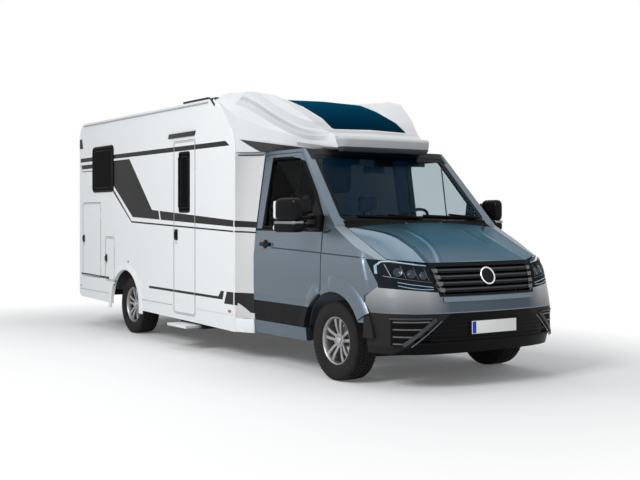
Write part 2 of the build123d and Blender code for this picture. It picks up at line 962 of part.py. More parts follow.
def side_hinge(rect, share, side, on_door):
    """One half of an outside hinge on a side door's front edge, and the notch for the other half."""
    front, rear, low, high = rect
    length = 44
    base = low + share * (high - low)
    start = base if on_door else base + length + seat_gap
    with BuildPart() as eye:
        with Locations((side * (body_half_width + 1), front - door_gap / 2, start)):
            Cylinder(hinge_tube_radius, length, align=(Align.CENTER, Align.CENTER, Align.MIN))
    other = base + length - 5 if on_door else base - 5
    with BuildPart() as notch:
        with Locations((side * (body_half_width + 1), front - door_gap / 2, other + (5 if on_door else 0))):
            Cylinder(
                hinge_notch, length + 5 + (5 if on_door else 0), align=(Align.CENTER, Align.CENTER, Align.MIN)
            )
    return eye.part, notch.part


def side_door(rect, side, radius=26):
    """A side door's slab with its two hinge eyes."""
    low_x, high_x = sorted((side * (body_half_width - door_slab), side * body_half_width))
    with BuildPart() as door:
        add(rounded_panel(rect, 0, radius, low_x, high_x))
        for share in hinge_shares:
            eye, notch = side_hinge(rect, share, side, True)
            add(notch, mode=Mode.SUBTRACT)
            add(eye)
    return door.part


def cut_door(rect, side, radius=26):
    """The wall's opening for a side door, to be taken off the wall."""
    low_x, high_x = sorted((side * (body_half_width - 200), side * (body_half_width + 50)))
    return rounded_panel(rect, door_gap, radius, low_x, high_x)


door_slab = 28
hinge_shares = (0.12, 0.78)
roof_form = body_side(-body_half_width, body_half_width, body_top, body_rear, body_corner_radius)
under_roof = body_side(
    -far, far, roof_under, body_rear - wall, body_corner_radius - roof_thickness
)
right_doors = (entrance, garage, service)


def side_wall(side, doors, windows):
    """One side wall with its openings."""
    low_x, high_x = sorted((side * (body_half_width - wall), side * body_half_width))
    with BuildPart() as panel_side:
        add(body_side(low_x, high_x, roof_under, body_rear - wall, body_corner_radius - roof_thickness))
        add(behind_nose_curve(far, 0), mode=Mode.INTERSECT)
        add(arch_prism(rear_axle, rear_arch_radius, -far, far), mode=Mode.SUBTRACT)
        for rect in windows:
            add(rounded_panel(rect, 0, 60, low_x - 1, high_x + 1), mode=Mode.SUBTRACT)
        for rect in doors:
            add(cut_door(rect, side), mode=Mode.SUBTRACT)
        for rect in doors:
            for share in hinge_shares:
                eye, notch = side_hinge(rect, share, side, False)
                add(notch, mode=Mode.SUBTRACT)
                add(eye)
    return panel_side.part


right_wall = side_wall(-1, right_doors, (rear_window,))
left_wall = side_wall(1, (left_garage,), (rear_window, dinette_window))
finish(right_wall, "right_wall")
finish(left_wall, "left_wall")

with BuildPart() as entrance_door:
    add(side_door(entrance, -1, 40))
    entrance_window = (front_axle + 2690, front_axle + 2982, 1512, 2198)
    add(rounded_panel(entrance_window, 0, 30, -far, 0), mode=Mode.SUBTRACT)
finish(entrance_door.part, "entrance_door")
entrance_pane = rounded_panel(
    entrance_window, -seat_gap, 30, -body_half_width + 4, -body_half_width + window_panel
)
finish(entrance_pane, "entrance_door_pane")
finish(side_door(garage, -1), "right_garage_door")
finish(side_door(service, -1), "right_service_door")
finish(side_door(left_garage, 1), "left_garage_door")

with BuildPart() as body_windows:
    for side, rect in ((-1, rear_window), (1, rear_window), (1, dinette_window)):
        low_x, high_x = sorted((side * (body_half_width - 20), side * (body_half_width + 8)))
        add(rounded_panel(rect, -seat_gap, 60, low_x, high_x))
finish(body_windows.part, "body_windows")

hatch_places = ((front_axle + 3050, 700, 500), (front_axle + 4350, 400, 400), (front_axle + 5450, 400, 400))
hatch_height = 110
with BuildPart() as roof:
    add(roof_form)
    add(under_roof, mode=Mode.SUBTRACT)
    add(behind_nose_curve(far, 0), mode=Mode.INTERSECT)
    box((-far, body_rear - wall - 1000, 0), (far, body_rear + 100, body_top - body_corner_radius), mode=Mode.SUBTRACT)
    for y, length, width in hatch_places:
        with Locations((0, y, body_top)):
            Box(width - 60, length - 60, 300, mode=Mode.SUBTRACT)
finish(roof.part, "roof")

with BuildPart() as roof_hatches:
    for y, length, width in hatch_places:
        with BuildSketch(Plane.XY.offset(body_top)):
            with Locations((0, y)):
                RectangleRounded(width, length, 40)
        extrude(amount=hatch_height, taper=12)
finish(roof_hatches.part, "roof_hatches")

with BuildPart() as rear_wall:
    box(
        (-body_half_width, body_rear - wall, body_bottom),
        (body_half_width, body_rear, body_top - body_corner_radius),
    )
finish(rear_wall.part, "rear_wall")

# ---------------------------------------------------------------- floor with wheel boxes
inner_half = body_half_width - wall
box_wall = 16
wheel_box_inner = wheel_x - tyre_width / 2 - 60
with BuildPart() as living_floor:
    box((-inner_half, body_front, floor_top - floor_thickness), (inner_half, body_rear - wall, floor_top))
    for side in (-1, 1):
        low_x, high_x = sorted((side * wheel_box_inner, side * inner_half))
        box(
            (low_x, rear_axle - rear_arch_radius - box_wall, floor_top - floor_thickness),
            (high_x, rear_axle + rear_arch_radius + box_wall, tyre_radius + rear_arch_radius + box_wall),
        )
    for side in (-1, 1):
        low_x, high_x = sorted((side * (wheel_box_inner + box_wall), side * (inner_half + 10)))
        box(
            (low_x, rear_axle - rear_arch_radius, 0),
            (high_x, rear_axle + rear_arch_radius, tyre_radius + rear_arch_radius),
            mode=Mode.SUBTRACT,
        )
    # clearance behind the entrance door
    box(
        (-inner_half - 1, entrance[0] - door_gap, 0),
        (-inner_half + 1, entrance[1] + door_gap, 900),
        mode=Mode.SUBTRACT,
    )
finish(living_floor.part, "living_floor")

# ---------------------------------------------------------------- side skirts
with BuildPart() as side_skirts:
    for side in (-1, 1):
        low_x, high_x = sorted((side * (body_half_width - skirt_thickness), side * body_half_width))
        with BuildSketch(Plane.YZ.offset(low_x)):
            with BuildLine():
                Polyline(
                    (body_front, 285),
                    (front_axle + 2400, 300),
                    (rear_axle, 336),
                    (body_rear - 60, 372),
                    (body_rear - 2, 440),
                    (body_rear - 2, body_bottom - seat_gap),
                    (body_front, body_bottom - seat_gap),
                    close=True,
                )
            make_face()
        extrude(amount=high_x - low_x)
    add(arch_prism(rear_axle, rear_arch_radius, -far, far), mode=Mode.SUBTRACT)
    add(cut_door(entrance, -1, 40), mode=Mode.SUBTRACT)
finish(side_skirts.part, "side_skirts")


# ---------------------------------------------------------------- rear bumper and lamps
rear_bumper_top = 780
bumper_bottom = 400
with BuildPart() as rear_bumper:
    box(
        (-body_half_width + 8, body_rear, bumper_bottom),
        (body_half_width - 8, body_rear + bumper_depth, rear_bumper_top),
    )
    chamfer(rear_bumper.faces().sort_by(Axis.Y)[-1].edges(), 12)
    for side in (-1, 1):
        with Locations((side * 900, body_rear + bumper_depth, 640)):
            Box(250, 30, 130, mode=Mode.SUBTRACT)
finish(rear_bumper.part, "rear_bumper")

with BuildPart() as rear_lamps:
    for side in (-1, 1):
        with Locations((side * 900, body_rear + bumper_depth - 15, 640)):
            Box(249, 15 + lamp_proud, 129, align=(Align.CENTER, Align.MIN, Align.CENTER))
        with Locations((side * (body_half_width - 50), body_rear, 2440)):
            Box(60, 16, 110, align=(Align.CENTER, Align.MIN, Align.CENTER))
    with Locations((0, body_rear, 2455)):
        Box(420, 18, 34, align=(Align.CENTER, Align.MIN, Align.CENTER))
finish(rear_lamps.part, "rear_lamps")

# ---------------------------------------------------------------- chassis frame
rail_x = 400
rail_width = 60
rail_bottom = 405
rail_top = floor_top - floor_thickness
rail_front = front_axle - 700
rail_rear = body_rear - 60
arm_height = 215
tow_bar_y = rail_rear - 217
tow_bar_pitch = 120
tow_bar_rows = 50
tow_bar_hole = 6.5
with BuildPart() as chassis_frame:
    for side in (-1, 1):
        low_x, high_x = sorted((side * (rail_x - rail_width / 2), side * (rail_x + rail_width / 2)))
        box((low_x, rail_front, rail_bottom), (high_x, rail_rear, rail_top))
        box((low_x + 8, rail_front - 1, rail_bottom + 8), (high_x - 8, rail_rear + 1, rail_top - 8), mode=Mode.SUBTRACT)
    for y in (-660, 560, 1300, 2150, 3150, 3780, 5190, 5950):
        half = rail_x - rail_width / 2 if y < 1500 else inner_half - 20
        box((-half, front_axle + y - 25, rail_bottom + 30), (half, front_axle + y + 25, rail_top))
    # holes for a tow bar through both rails' webs
    with Locations(Location((0, tow_bar_y, (rail_bottom + rail_top) / 2), (0, 90, 0))):
        with GridLocations(tow_bar_rows, tow_bar_pitch, 2, 2):
            Cylinder(tow_bar_hole, 2 * (rail_x + rail_width), mode=Mode.SUBTRACT)
finish(chassis_frame.part, "chassis_frame")

# ---------------------------------------------------------------- front axle carrier, arms and struts
with BuildPart() as front_axle_carrier:
    box((-300, front_axle - 180, 250), (300, front_axle + 180, 300))
    for side in (-1, 1):
        low_x, high_x = sorted((side * 250, side * 330))
        box((low_x, front_axle - 200, 250), (high_x, front_axle + 200, rail_bottom))
        low_x, high_x = sorted((side * 320, side * 372))
        box((low_x, front_axle - 200, rail_bottom - 60), (high_x, front_axle + 200, rail_bottom))
        low_x, high_x = sorted((side * 366, side * 430))
        box((low_x, front_axle - 200, rail_bottom - 30), (high_x, front_axle + 200, rail_bottom))
        with BuildSketch(Plane.XY.offset(arm_height - 20)):
            with BuildLine():
                Polyline(
                    (side * 260, front_axle - 190),
                    (side * (kingpin_x + 20), front_axle - 26),
                    (side * (kingpin_x + 20), front_axle + 26),
                    (side * 260, front_axle + 190),
                    close=True,
                )
            make_face()
        extrude(amount=38)
        low_x, high_x = sorted((side * 250, side * 330))
        box((low_x, front_axle - 190, arm_height), (high_x, front_axle + 190, 260))
        with Locations((side * kingpin_x, front_axle, arm_height - 20)):
            Cylinder(14, 60, align=(Align.CENTER, Align.CENTER, Align.MIN))
finish(front_axle_carrier.part, "front_axle_carrier")

# ---------------------------------------------------------------- steering knuckles
spindle_radius = 24
with BuildPart() as left_knuckle:
    with BuildSketch(Plane.XY.offset(arm_height + 40 + 0.3)):
        with Locations((kingpin_x, front_axle)):
            Circle(22)
    extrude(amount=tyre_radius + 90 - arm_height - 40)
    with Locations(Location((kingpin_x, front_axle, tyre_radius), (0, 90, 0))):
        Cylinder(spindle_radius, wheel_x + 50 - kingpin_x, align=(Align.CENTER, Align.CENTER, Align.MIN))
    with Locations((kingpin_x, front_axle, arm_height)):
        Cylinder(14.06, 40.3, align=(Align.CENTER, Align.CENTER, Align.MIN), mode=Mode.SUBTRACT)
    box((kingpin_x - 18, front_axle, tyre_radius - 60), (kingpin_x + 18, front_axle + 120, tyre_radius - 36))
finish(left_knuckle.part, "left_knuckle")
finish(mirrored(left_knuckle.part), "right_knuckle")

# ---------------------------------------------------------------- rear axle with leaf springs
spring_x = 520
spring_half = 620
with BuildPart() as rear_axle_beam:
    with Locations(Location((0, rear_axle, tyre_radius), (0, 90, 0))):
        Cylinder(36, 2 * 740)
        Cylinder(spindle_radius, 2 * (wheel_x + 50))
    for side in (-1, 1):
        with BuildSketch(Plane.YZ.offset(side * spring_x - 32)):
            with BuildLine():
                ThreePointArc(
                    (rear_axle - spring_half, rail_bottom + 22),
                    (rear_axle, tyre_radius + 38),
                    (rear_axle + spring_half, rail_bottom + 22),
                )
                Line((rear_axle + spring_half, rail_bottom + 22), (rear_axle + spring_half, rail_bottom + 46))
                ThreePointArc(
                    (rear_axle + spring_half, rail_bottom + 46),
                    (rear_axle, tyre_radius + 68),
                    (rear_axle - spring_half, rail_bottom + 46),
                )
                Line((rear_axle - spring_half, rail_bottom + 46), (rear_axle - spring_half, rail_bottom + 22))
            make_face()
        extrude(amount=64)
        with Locations((side * spring_x, rear_axle, tyre_radius + 20)):
            Box(90, 110, 50)
        for end in (-1, 1):
            with Locations((side * (spring_x + rail_x + 30) / 2, rear_axle + end * (spring_half - 20), rail_bottom + 34)):
                Box(spring_x - rail_x - 30, 36, 30)
finish(rear_axle_beam.part, "rear_axle")

# ---------------------------------------------------------------- engine, tanks
with BuildPart() as engine_block:
    box((-330, front_axle - 520, 420), (330, front_axle - 40, 980))
    chamfer(engine_block.edges(), 30)
    engine_foot = rail_x - rail_width / 2 - seat_gap
    for y in (-420, -140):
        box((-engine_foot, front_axle + y, 455), (engine_foot, front_axle + y + 40, 505))
finish(engine_block.part, "engine_block")

with BuildPart() as underfloor_tanks:
    box((-960, front_axle + 3190, 320), (-480, front_axle + 3740, rail_top))
    box((480, front_axle + 2230, 300), (960, front_axle + 3070, rail_top))
    with Locations(Location((560, rear_axle + 1000, 440), (90, 0, 0))):
        Cylinder(80, 500)
    box((540, rear_axle + 900, 440), (580, rear_axle + 930, rail_top))
finish(underfloor_tanks.part, "underfloor_tanks")

# ---------------------------------------------------------------- wheels
rim_width = 190
rim_depth = 18
spokes = 5
spoke_face = 70
spoke_depth = 26


def tyre(axle_y):
    """A tyre on the left side."""
    half = tyre_width / 2
    bead = (half, rim_radius + seat_gap)
    flank = (half, tyre_radius - tyre_shoulder)
    shoulder = (half - tyre_shoulder, tyre_radius)
    profile = (bead, flank, shoulder)
    with BuildPart() as ring:
        with BuildSketch(Plane.XZ):
            with BuildLine():
                Polyline(*profile, *[(-x, radius) for x, radius in reversed(profile)], close=True)
            make_face()
        revolve(axis=Axis.X)
    return Pos(wheel_x, axle_y, tyre_radius) * ring.part


def rim(axle_y, hub_inner):
    """A rim with its twin spokes and hub on the left side."""
    half = rim_width / 2
    bore = spindle_radius + 0.05
    with BuildPart() as wheel:
        with BuildSketch(Plane.XZ):
            with BuildLine():
                Polyline(
                    (-half, rim_radius),
                    (half, rim_radius),
                    (half, rim_radius - rim_depth),
                    (-half, rim_radius - rim_depth),
                    close=True,
                )
            make_face()
            with BuildLine():
                Polyline((hub_inner, bore), (hub_inner, 60), (74, 60), (74, bore), close=True)
            make_face()
        revolve(axis=Axis.X)
        with BuildSketch(Plane.YZ.offset(spoke_face - spoke_depth)):
            with PolarLocations(0, spokes, start_angle=90):
                for side in (-1, 1):
                    Polygon(
                        (50, side * 4),
                        (rim_radius - rim_depth / 2, side * 20),
                        (rim_radius - rim_depth / 2, side * 46),
                        (50, side * 24),
                        align=None,
                    )
        extrude(amount=spoke_depth)
    return Pos(wheel_x, axle_y, tyre_radius) * wheel.part


for axle_name, axle_y in (("front", front_axle), ("rear", rear_axle)):
    left_tyre = tyre(axle_y)
    left_rim = rim(axle_y, -86)
    finish(left_tyre, f"left_{axle_name}_tyre")
    finish(mirrored(left_tyre), f"right_{axle_name}_tyre")
    finish(left_rim, f"left_{axle_name}_rim")
    finish(mirrored(left_rim), f"right_{axle_name}_rim")

# ---------------------------------------------------------------- dashboard, wheel and seats
driver_x = 430
dash_half = 880
with BuildPart() as dashboard:
    with BuildSketch(Plane.YZ.offset(-dash_half)):
        with BuildLine():
            Polyline(
                (front_axle + 132.3, 1000),
                (front_axle + 132.3, 1392),
                (front_axle + 330, 1402),
                (front_axle + 560, 1340),
                (front_axle + 590, 1180),
                (front_axle + 470, 1000),
                close=True,
            )
        make_face()
    extrude(amount=2 * dash_half)
    add(cab_envelope(80), mode=Mode.INTERSECT)
    with BuildPart(Plane.XY, mode=Mode.PRIVATE) as wheel_ring:
        with BuildSketch(Plane.XZ):
            with Locations((185, 0)):
                RegularPolygon(16, 6)
        revolve(axis=Axis.Z)
        Box(370, 34, 12)
        Cylinder(50, 20)
        Cylinder(24, 250, align=(Align.CENTER, Align.CENTER, Align.MAX))
    add(Pos(driver_x, front_axle + 690, 1420) * Rotation(-42, 0, 0) * wheel_ring.part)
finish(dashboard.part, "dashboard")

seat_x = 440
seat_front = front_axle + 860
with BuildPart() as cab_seats:
    for side in (-1, 1):
        x = side * seat_x
        box((x - 190, seat_front + 80, cab_floor_top), (x + 190, seat_front + 440, 800))
        box((x - 240, seat_front, 800), (x + 240, seat_front + 500, 930))
        with BuildSketch(Plane.YZ.offset(x - 230)):
            with BuildLine():
                Polyline(
                    (seat_front + 420, 880),
                    (seat_front + 540, 880),
                    (seat_front + 640, 1500),
                    (seat_front + 540, 1510),
                    close=True,
                )
            make_face()
        extrude(amount=460)
        box((x - 130, seat_front + 560, 1480), (x + 130, seat_front + 640, 1700))
finish(cab_seats.part, "cab_seats")

# ---------------------------------------------------------------- mirrors
with BuildPart() as left_mirror:
    with BuildSketch(Plane.XZ.offset(-(front_axle + 395))):
        with Locations((1250, 1487)):
            RectangleRounded(240, 320, 60)
    extrude(amount=-90)
    chamfer(left_mirror.faces().sort_by(Axis.Y)[0].edges(), 26)
    foot_low, foot_high = 1384, 1500
    box((955, door_front + 5, foot_low), (1000, door_front + 55, foot_high))
    for height in (1392, 1456):
        with BuildSketch(Plane.XY.offset(height)):
            with BuildLine():
                Polyline(
                    (980, door_front + 10),
                    (1000, door_front + 8),
                    (1160, front_axle + 400),
                    (1160, front_axle + 436),
                    (990, door_front + 46),
                    (980, door_front + 46),
                    close=True,
                )
            make_face()
        extrude(amount=34)
    add(door_shell, mode=Mode.SUBTRACT)
finish(left_mirror.part, "left_mirror")
finish(mirrored(left_mirror.part), "right_mirror")

# ---------------------------------------------------------------- entrance step
step_width = 460
step_middle = (entrance[0] + entrance[1]) / 2 - 110
step_height = 250
step_out = 150
with BuildPart() as step_housing:
    box(
        (-body_half_width + skirt_thickness + 10, step_middle - 270, step_height - 12),
        (-540, step_middle + 270, step_height + 58),
    )
    box(
        (-body_half_width, step_middle - step_width / 2 - door_gap, step_height - 7),
        (-555, step_middle + step_width / 2 + door_gap, step_height + 33),
        mode=Mode.SUBTRACT,
    )
    for y in (step_middle - 200, step_middle + 200):
        box((-900, y - 20, step_height + 58), (-860, y + 20, rail_top))
finish(step_housing.part, "step_housing")
with BuildPart() as entrance_step:
    box(
        (-body_half_width - step_out, step_middle - step_width / 2, step_height),
        (-body_half_width + 250, step_middle + step_width / 2, step_height + 26),
    )
    runner = step_width / 2 + door_gap - seat_gap
    box(
        (-body_half_width + 60, step_middle - runner, step_height + 6),
        (-body_half_width + 250, step_middle + runner, step_height + 20),
    )
finish(entrance_step.part, "entrance_step")
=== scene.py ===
"""The looks of the low-profile motorhome: finishes for its solids, and the trim, tyres, wheels and lamps round them.

Metres. The nose points to -Y, +Z is up and +X is the vehicle's left side. Distances written as "behind the
axle" are measured from the front axle, as at() turns them into Y.
"""

import math

import bmesh
import bpy
from mathutils import Matrix, Vector
from mathutils.bvhtree import BVHTree


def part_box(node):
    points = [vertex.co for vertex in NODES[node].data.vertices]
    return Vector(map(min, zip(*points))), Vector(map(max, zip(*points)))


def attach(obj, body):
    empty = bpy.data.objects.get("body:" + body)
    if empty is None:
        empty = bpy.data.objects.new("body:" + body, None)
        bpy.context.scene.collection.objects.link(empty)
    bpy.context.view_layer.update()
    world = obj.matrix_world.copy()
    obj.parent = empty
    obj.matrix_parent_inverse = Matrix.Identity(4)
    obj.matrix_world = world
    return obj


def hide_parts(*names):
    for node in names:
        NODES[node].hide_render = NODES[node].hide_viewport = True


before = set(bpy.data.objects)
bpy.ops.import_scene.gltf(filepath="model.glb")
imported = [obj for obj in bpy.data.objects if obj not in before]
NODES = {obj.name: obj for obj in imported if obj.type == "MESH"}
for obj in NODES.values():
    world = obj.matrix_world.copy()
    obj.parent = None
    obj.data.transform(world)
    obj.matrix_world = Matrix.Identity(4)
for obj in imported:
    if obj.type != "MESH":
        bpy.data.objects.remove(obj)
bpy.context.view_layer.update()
CHASSIS = "chassis"
RIGHT, LEFT = -1, 1
SIDES = ((LEFT, "left"), (RIGHT, "right"))
TAU = 2 * math.pi


def corners_of(node):
    """The low and the high corner of a node's box."""
    low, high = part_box(node)
    return Vector(low), Vector(high)


TYRE_LOW, TYRE_HIGH = corners_of("left_front_tyre")
TYRE_MIDDLE = (TYRE_LOW + TYRE_HIGH) / 2
TYRE_RADIUS = (TYRE_HIGH.z - TYRE_LOW.z) / 2
TYRE_HALF = (TYRE_HIGH.x - TYRE_LOW.x) / 2
WHEEL_X = TYRE_MIDDLE.x
AXLE = TYRE_MIDDLE.y
REAR_AXLE = sum(corners_of("left_rear_tyre"), Vector()).y / 2
RIM_LOW, RIM_HIGH = corners_of("left_front_rim")
RIM_RADIUS = (RIM_HIGH.z - RIM_LOW.z) / 2
BODY_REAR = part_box("rear_wall")[1][1]
ROOF_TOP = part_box("roof")[1][2]


def at(distance):
    """The Y of a place so far behind the front axle."""
    return AXLE + distance


def behind(points):
    """Points of (distance behind the axle, height) as points of (Y, height)."""
    return [(at(back), height) for back, height in points]


def sided(side, points):
    """Points whose first number is a distance out, taken to one side."""
    return [(side * out, other) for out, other in points]


# ---------------------------------------------------------------- shader maths
class Value:
    """A shader socket that takes part in sums and comparisons."""

    def __init__(self, nodes, socket):
        self.nodes = nodes
        self.socket = socket

    def maths(self, operation, *others, clamp=False):
        """A Math node on this value and others."""
        settings = {"operation": operation, "use_clamp": clamp}
        return self.nodes.node("ShaderNodeMath", settings, places=dict(enumerate((self, *others))))

    def __add__(self, other):
        return self.maths("ADD", other)

    __radd__ = __add__

    def __sub__(self, other):
        return self.maths("SUBTRACT", other)

    def __rsub__(self, other):
        return (self * -1) + other

    def __mul__(self, other):
        return self.maths("MULTIPLY", other)

    __rmul__ = __mul__

    def __truediv__(self, other):
        return self.maths("DIVIDE", other)

    def __gt__(self, other):
        return self.maths("GREATER_THAN", other)

    def __lt__(self, other):
        return self.maths("LESS_THAN", other)

    def __abs__(self):
        return self.maths("ABSOLUTE")

    def lower(self, other):
        """The lower of two values."""
        return self.maths("MINIMUM", other)

    def higher(self, other):
        """The higher of two values."""
        return self.maths("MAXIMUM", other)

    def clipped(self, low=0.0, high=1.0):
        """The value kept between two numbers."""
        return self.lower(high).higher(low)

    def root(self):
        """The square root."""
        return self.maths("SQRT")


class Nodes:
    """A node tree, and the one way in which nodes are added to it."""

    def __init__(self, tree):
        self.tree = tree

    def feed(self, target, value):
        """A value or a link for any socket."""
        if isinstance(value, Value):
            self.tree.links.new(value.socket, target)
        elif isinstance(value, bpy.types.NodeSocket):
            self.tree.links.new(value, target)
        elif isinstance(value, tuple) and len(value) == 3 and target.type == "RGBA":
            target.default_value = (*value, 1.0)
        else:
            target.default_value = value

    def node(self, kind, settings=None, output=0, places=None, **inputs):
        """A node: its settings, then what its numbered and its named sockets take."""
        node = self.tree.nodes.new(kind)
        for name, value in (settings or {}).items():
            setattr(node, name, value)
        for place, value in (places or {}).items():
            self.feed(node.inputs[place], value)
        for name, value in inputs.items():
            self.feed(node.inputs[name.replace("_", " ")], value)
        return Value(self, node.outputs[output])

    def seen_rays(self):
        """One for rays that the camera sees directly, in gloss or through glass."""
        outputs = self.node("ShaderNodeLightPath").socket.node.outputs
        direct, gloss, through = (
            Value(self, outputs[name]) for name in ("Is Camera Ray", "Is Glossy Ray", "Is Transmission Ray")
        )
        return direct.higher(gloss).higher(through)


class Paint(Nodes):
    """One material and the nodes that make it."""

    def __init__(self, name, **sockets):
        self.material = bpy.data.materials.new(name)
        self.material.use_nodes = True
        super().__init__(self.material.node_tree)
        self.shader = self.tree.nodes["Principled BSDF"]
        self.output = self.tree.nodes["Material Output"]
        for socket, value in sockets.items():
            self.set(socket.replace("_", " "), value)

    def set(self, socket, value):
        """A value or a link for one of the shader's sockets."""
        self.feed(self.shader.inputs[socket], value)

    def where(self):
        """The object coordinates as one vector."""
        return self.node("ShaderNodeTexCoord", output="Object")

    def place(self):
        """X, the distance behind the front axle, and the height, as three values."""
        outputs = self.node("ShaderNodeSeparateXYZ", places={0: self.where()}).socket.node.outputs
        x, y, z = (Value(self, socket) for socket in outputs)
        return x, y - AXLE, z

    def noise(self, scale, detail=4.0, roughness=0.5, stretch=(1, 1, 1)):
        """Noise on object coordinates, from 0 to 1."""
        scaled = self.node("ShaderNodeMapping", Vector=self.where(), Scale=stretch)
        return self.node(
            "ShaderNodeTexNoise", output="Fac", Vector=scaled, Scale=scale, Detail=detail, Roughness=roughness
        )

    def waves(self, direction, scale, distortion=0.0):
        """Even bands on object coordinates, from 0 to 1."""
        settings = {"wave_type": "BANDS", "bands_direction": direction}
        return self.node(
            "ShaderNodeTexWave", settings, "Fac", Vector=self.where(), Scale=scale, Distortion=distortion
        )

    def mix(self, share, first, second):
        """Two colours mixed by a value."""
        return self.node("ShaderNodeMix", {"data_type": "RGBA"}, 2, {6: first, 7: second}, Factor=share)

    def bump(self, height, strength, distance):
        """A bump from a height, fed to the shader."""
        bumped = self.node("ShaderNodeBump", output="Normal", Strength=strength, Distance=distance, Height=height)
        self.set("Normal", bumped)

    def blend(self, share, other):
        """The shader mixed with another by a share of the other."""
        mixed = self.node("ShaderNodeMixShader", places={0: share, 1: self.shader.outputs[0], 2: other})
        self.feed(self.output.inputs[0], mixed)


def inside(across, up, corners):
    """One inside a convex outline whose corners go anticlockwise, as seen with across to the right."""
    mask = None
    for (a0, b0), (a1, b1) in zip(corners, corners[1:] + corners[:1]):
        da, db = a1 - a0, b1 - b0
        side = (up * da - across * db) > (b0 * da - a0 * db)
        mask = side if mask is None else mask * side
    return mask


def between(value, low, high):
    """One where a value lies between two numbers."""
    return (value > low) * (value < high)


def any_of(masks):
    """One where any mask is."""
    total = masks[0]
    for mask in masks[1:]:
        total = total.higher(mask)
    return total


def crest(distance, steepness):
    """One on a line, falling off evenly beside it."""
    return (1 - abs(distance) * steepness).higher(0.0)


def scaled(colour, factor):
    """A colour with each part multiplied, at most white."""
    return tuple(min(1.0, part * factor) for part in colour)


# ---------------------------------------------------------------- finishes
ANTHRACITE = (0.028, 0.028, 0.029)
SILVER = (0.150, 0.190, 0.230)
SILVER_SHEEN = 0.80  # how metallic the silver coat is

# outlines of (distance behind the axle, height)
STRIPES = (
    # the thin upper stripe with its slanted tip, and the short double stripe behind the rear window
    [(6.04, 2.208), (6.04, 2.262), (1.87, 2.262), (1.78, 2.208)],
    [(5.58, 2.112), (5.97, 2.112), (6.01, 2.168), (5.58, 2.168)],
    [(5.58, 2.072), (5.95, 2.072), (5.965, 2.083), (5.58, 2.083)],
    [(5.95, 2.072), (5.965, 2.072), (6.045, 2.172), (6.030, 2.172)],
    # the broad slanted band, and its long narrowing foot
    [(3.695, 1.548), (4.264, 1.461), (4.865, 1.86), (4.865, 2.184), (4.365, 2.184)],
    [(1.30, 1.350), (4.264, 1.461), (3.695, 1.548), (1.30, 1.408)],
    # the lower stripe, its step up, and the dark block beside the cab
    [(2.01, 0.600), (3.78, 0.612), (3.78, 0.640), (2.01, 0.628)],
    [(5.02, 0.655), (6.0, 0.668), (6.0, 0.697), (5.02, 0.683)],
    [(1.93, 0.600), (2.05, 0.600), (1.97, 0.690), (1.90, 0.690)],
    [(1.64, 0.560), (1.90, 0.560), (1.84, 0.690), (1.64, 0.690)],
)
STRIPE_GAP = [(3.44, 1.40), (3.47, 1.40), (3.54, 1.62), (3.51, 1.62)]
PIN_LINES = (
    [(1.30, 1.296), (4.30, 1.392), (4.31, 1.412), (1.30, 1.312)],
    [(4.30, 1.392), (4.885, 1.78), (4.885, 1.825), (4.31, 1.420)],
)
CORNER_BLOCK = [(1.30, 0.49), (1.50, 0.49), (1.64, 0.585), (1.64, 0.69), (1.30, 0.69)]
DOOR_WINDOW = [
    (0.10, 1.346), (1.312, 1.346), (1.268, 2.064), (0.90, 2.060), (0.66, 2.008), (0.50, 1.868), (0.38, 1.700),
]
DOOR_LOWER_BAND = (0.40, 0.632)
DOOR_SILL = (1.330, 1.352)
SCREEN_FOOT = (0.878, 1.436)  # half width and height of the windscreen's lower corner
SCREEN_HEAD = (0.800, 2.074)  # and of its upper corner
SKYLIGHT = (0.8, 1.7)  # how far behind the axle the skylight's glazing begins and ends


def stripe_masks(paint):
    """The living body's dark stripes and its pin line, on both sides."""
    _, back, z = paint.place()
    bands = any_of([inside(back, z, outline) for outline in STRIPES])
    pin = any_of([inside(back, z, outline) for outline in PIN_LINES])
    return bands * (1 - inside(back, z, STRIPE_GAP)), pin


def wall_paint():
    """Smooth white sheet with dark stripes."""
    paint = Paint("body_sheet", Specular_IOR_Level=0.04)
    band, pin = stripe_masks(paint)
    ripple = paint.noise(1.3, detail=2.0)
    white = paint.mix(ripple, (0.77, 0.785, 0.79), (0.82, 0.83, 0.835))
    paint.set("Base Color", paint.mix(band.higher(pin), white, ANTHRACITE))
    paint.set("Roughness", 0.30 + ripple * 0.1)
    paint.bump(paint.noise(2.2, detail=1.0), 0.05, 0.004)
    return paint.material


def gel_paint():
    """Glossy moulded white shell with pressed creases, and painted shade under its lower edge beside the cab."""
    paint = Paint("gel_shell", Specular_IOR_Level=0.15)
    _, back, z = paint.place()
    flow = paint.noise(1.6, detail=2.0)
    white = paint.mix(flow, (0.66, 0.675, 0.685), (0.70, 0.712, 0.72))
    # painted shade: below the lower edge beside the cab the shell is coloured dark grey for the shadow under it
    lower_edge = 2.128 + (back - 0.80) * 0.165
    dark = (z < lower_edge) * (back > 0.56) * (back < 1.435 + (z - 2.13) * 1.32)
    run = (back - 0.78).higher(0.0)
    above = z - (2.275 + run * run * 1.10 - run * run * run * 0.68)
    brow = crest(above + 0.012, 22.0) - crest(above - 0.060, 16.0) * 0.9
    lip = crest(z - (2.147 + (back - 0.625) * 0.17), 30.0)
    front_part = (back < 1.78) * ((back - 0.70) * 6.0).clipped()
    paint.set("Base Color", paint.mix(dark, white, (0.050, 0.053, 0.056)))
    paint.set("Roughness", 0.18 + flow * 0.08)
    paint.bump((brow * front_part + lip * (back < 1.02) * 0.6) * (1 - dark), 1.0, 0.034)
    return paint.material


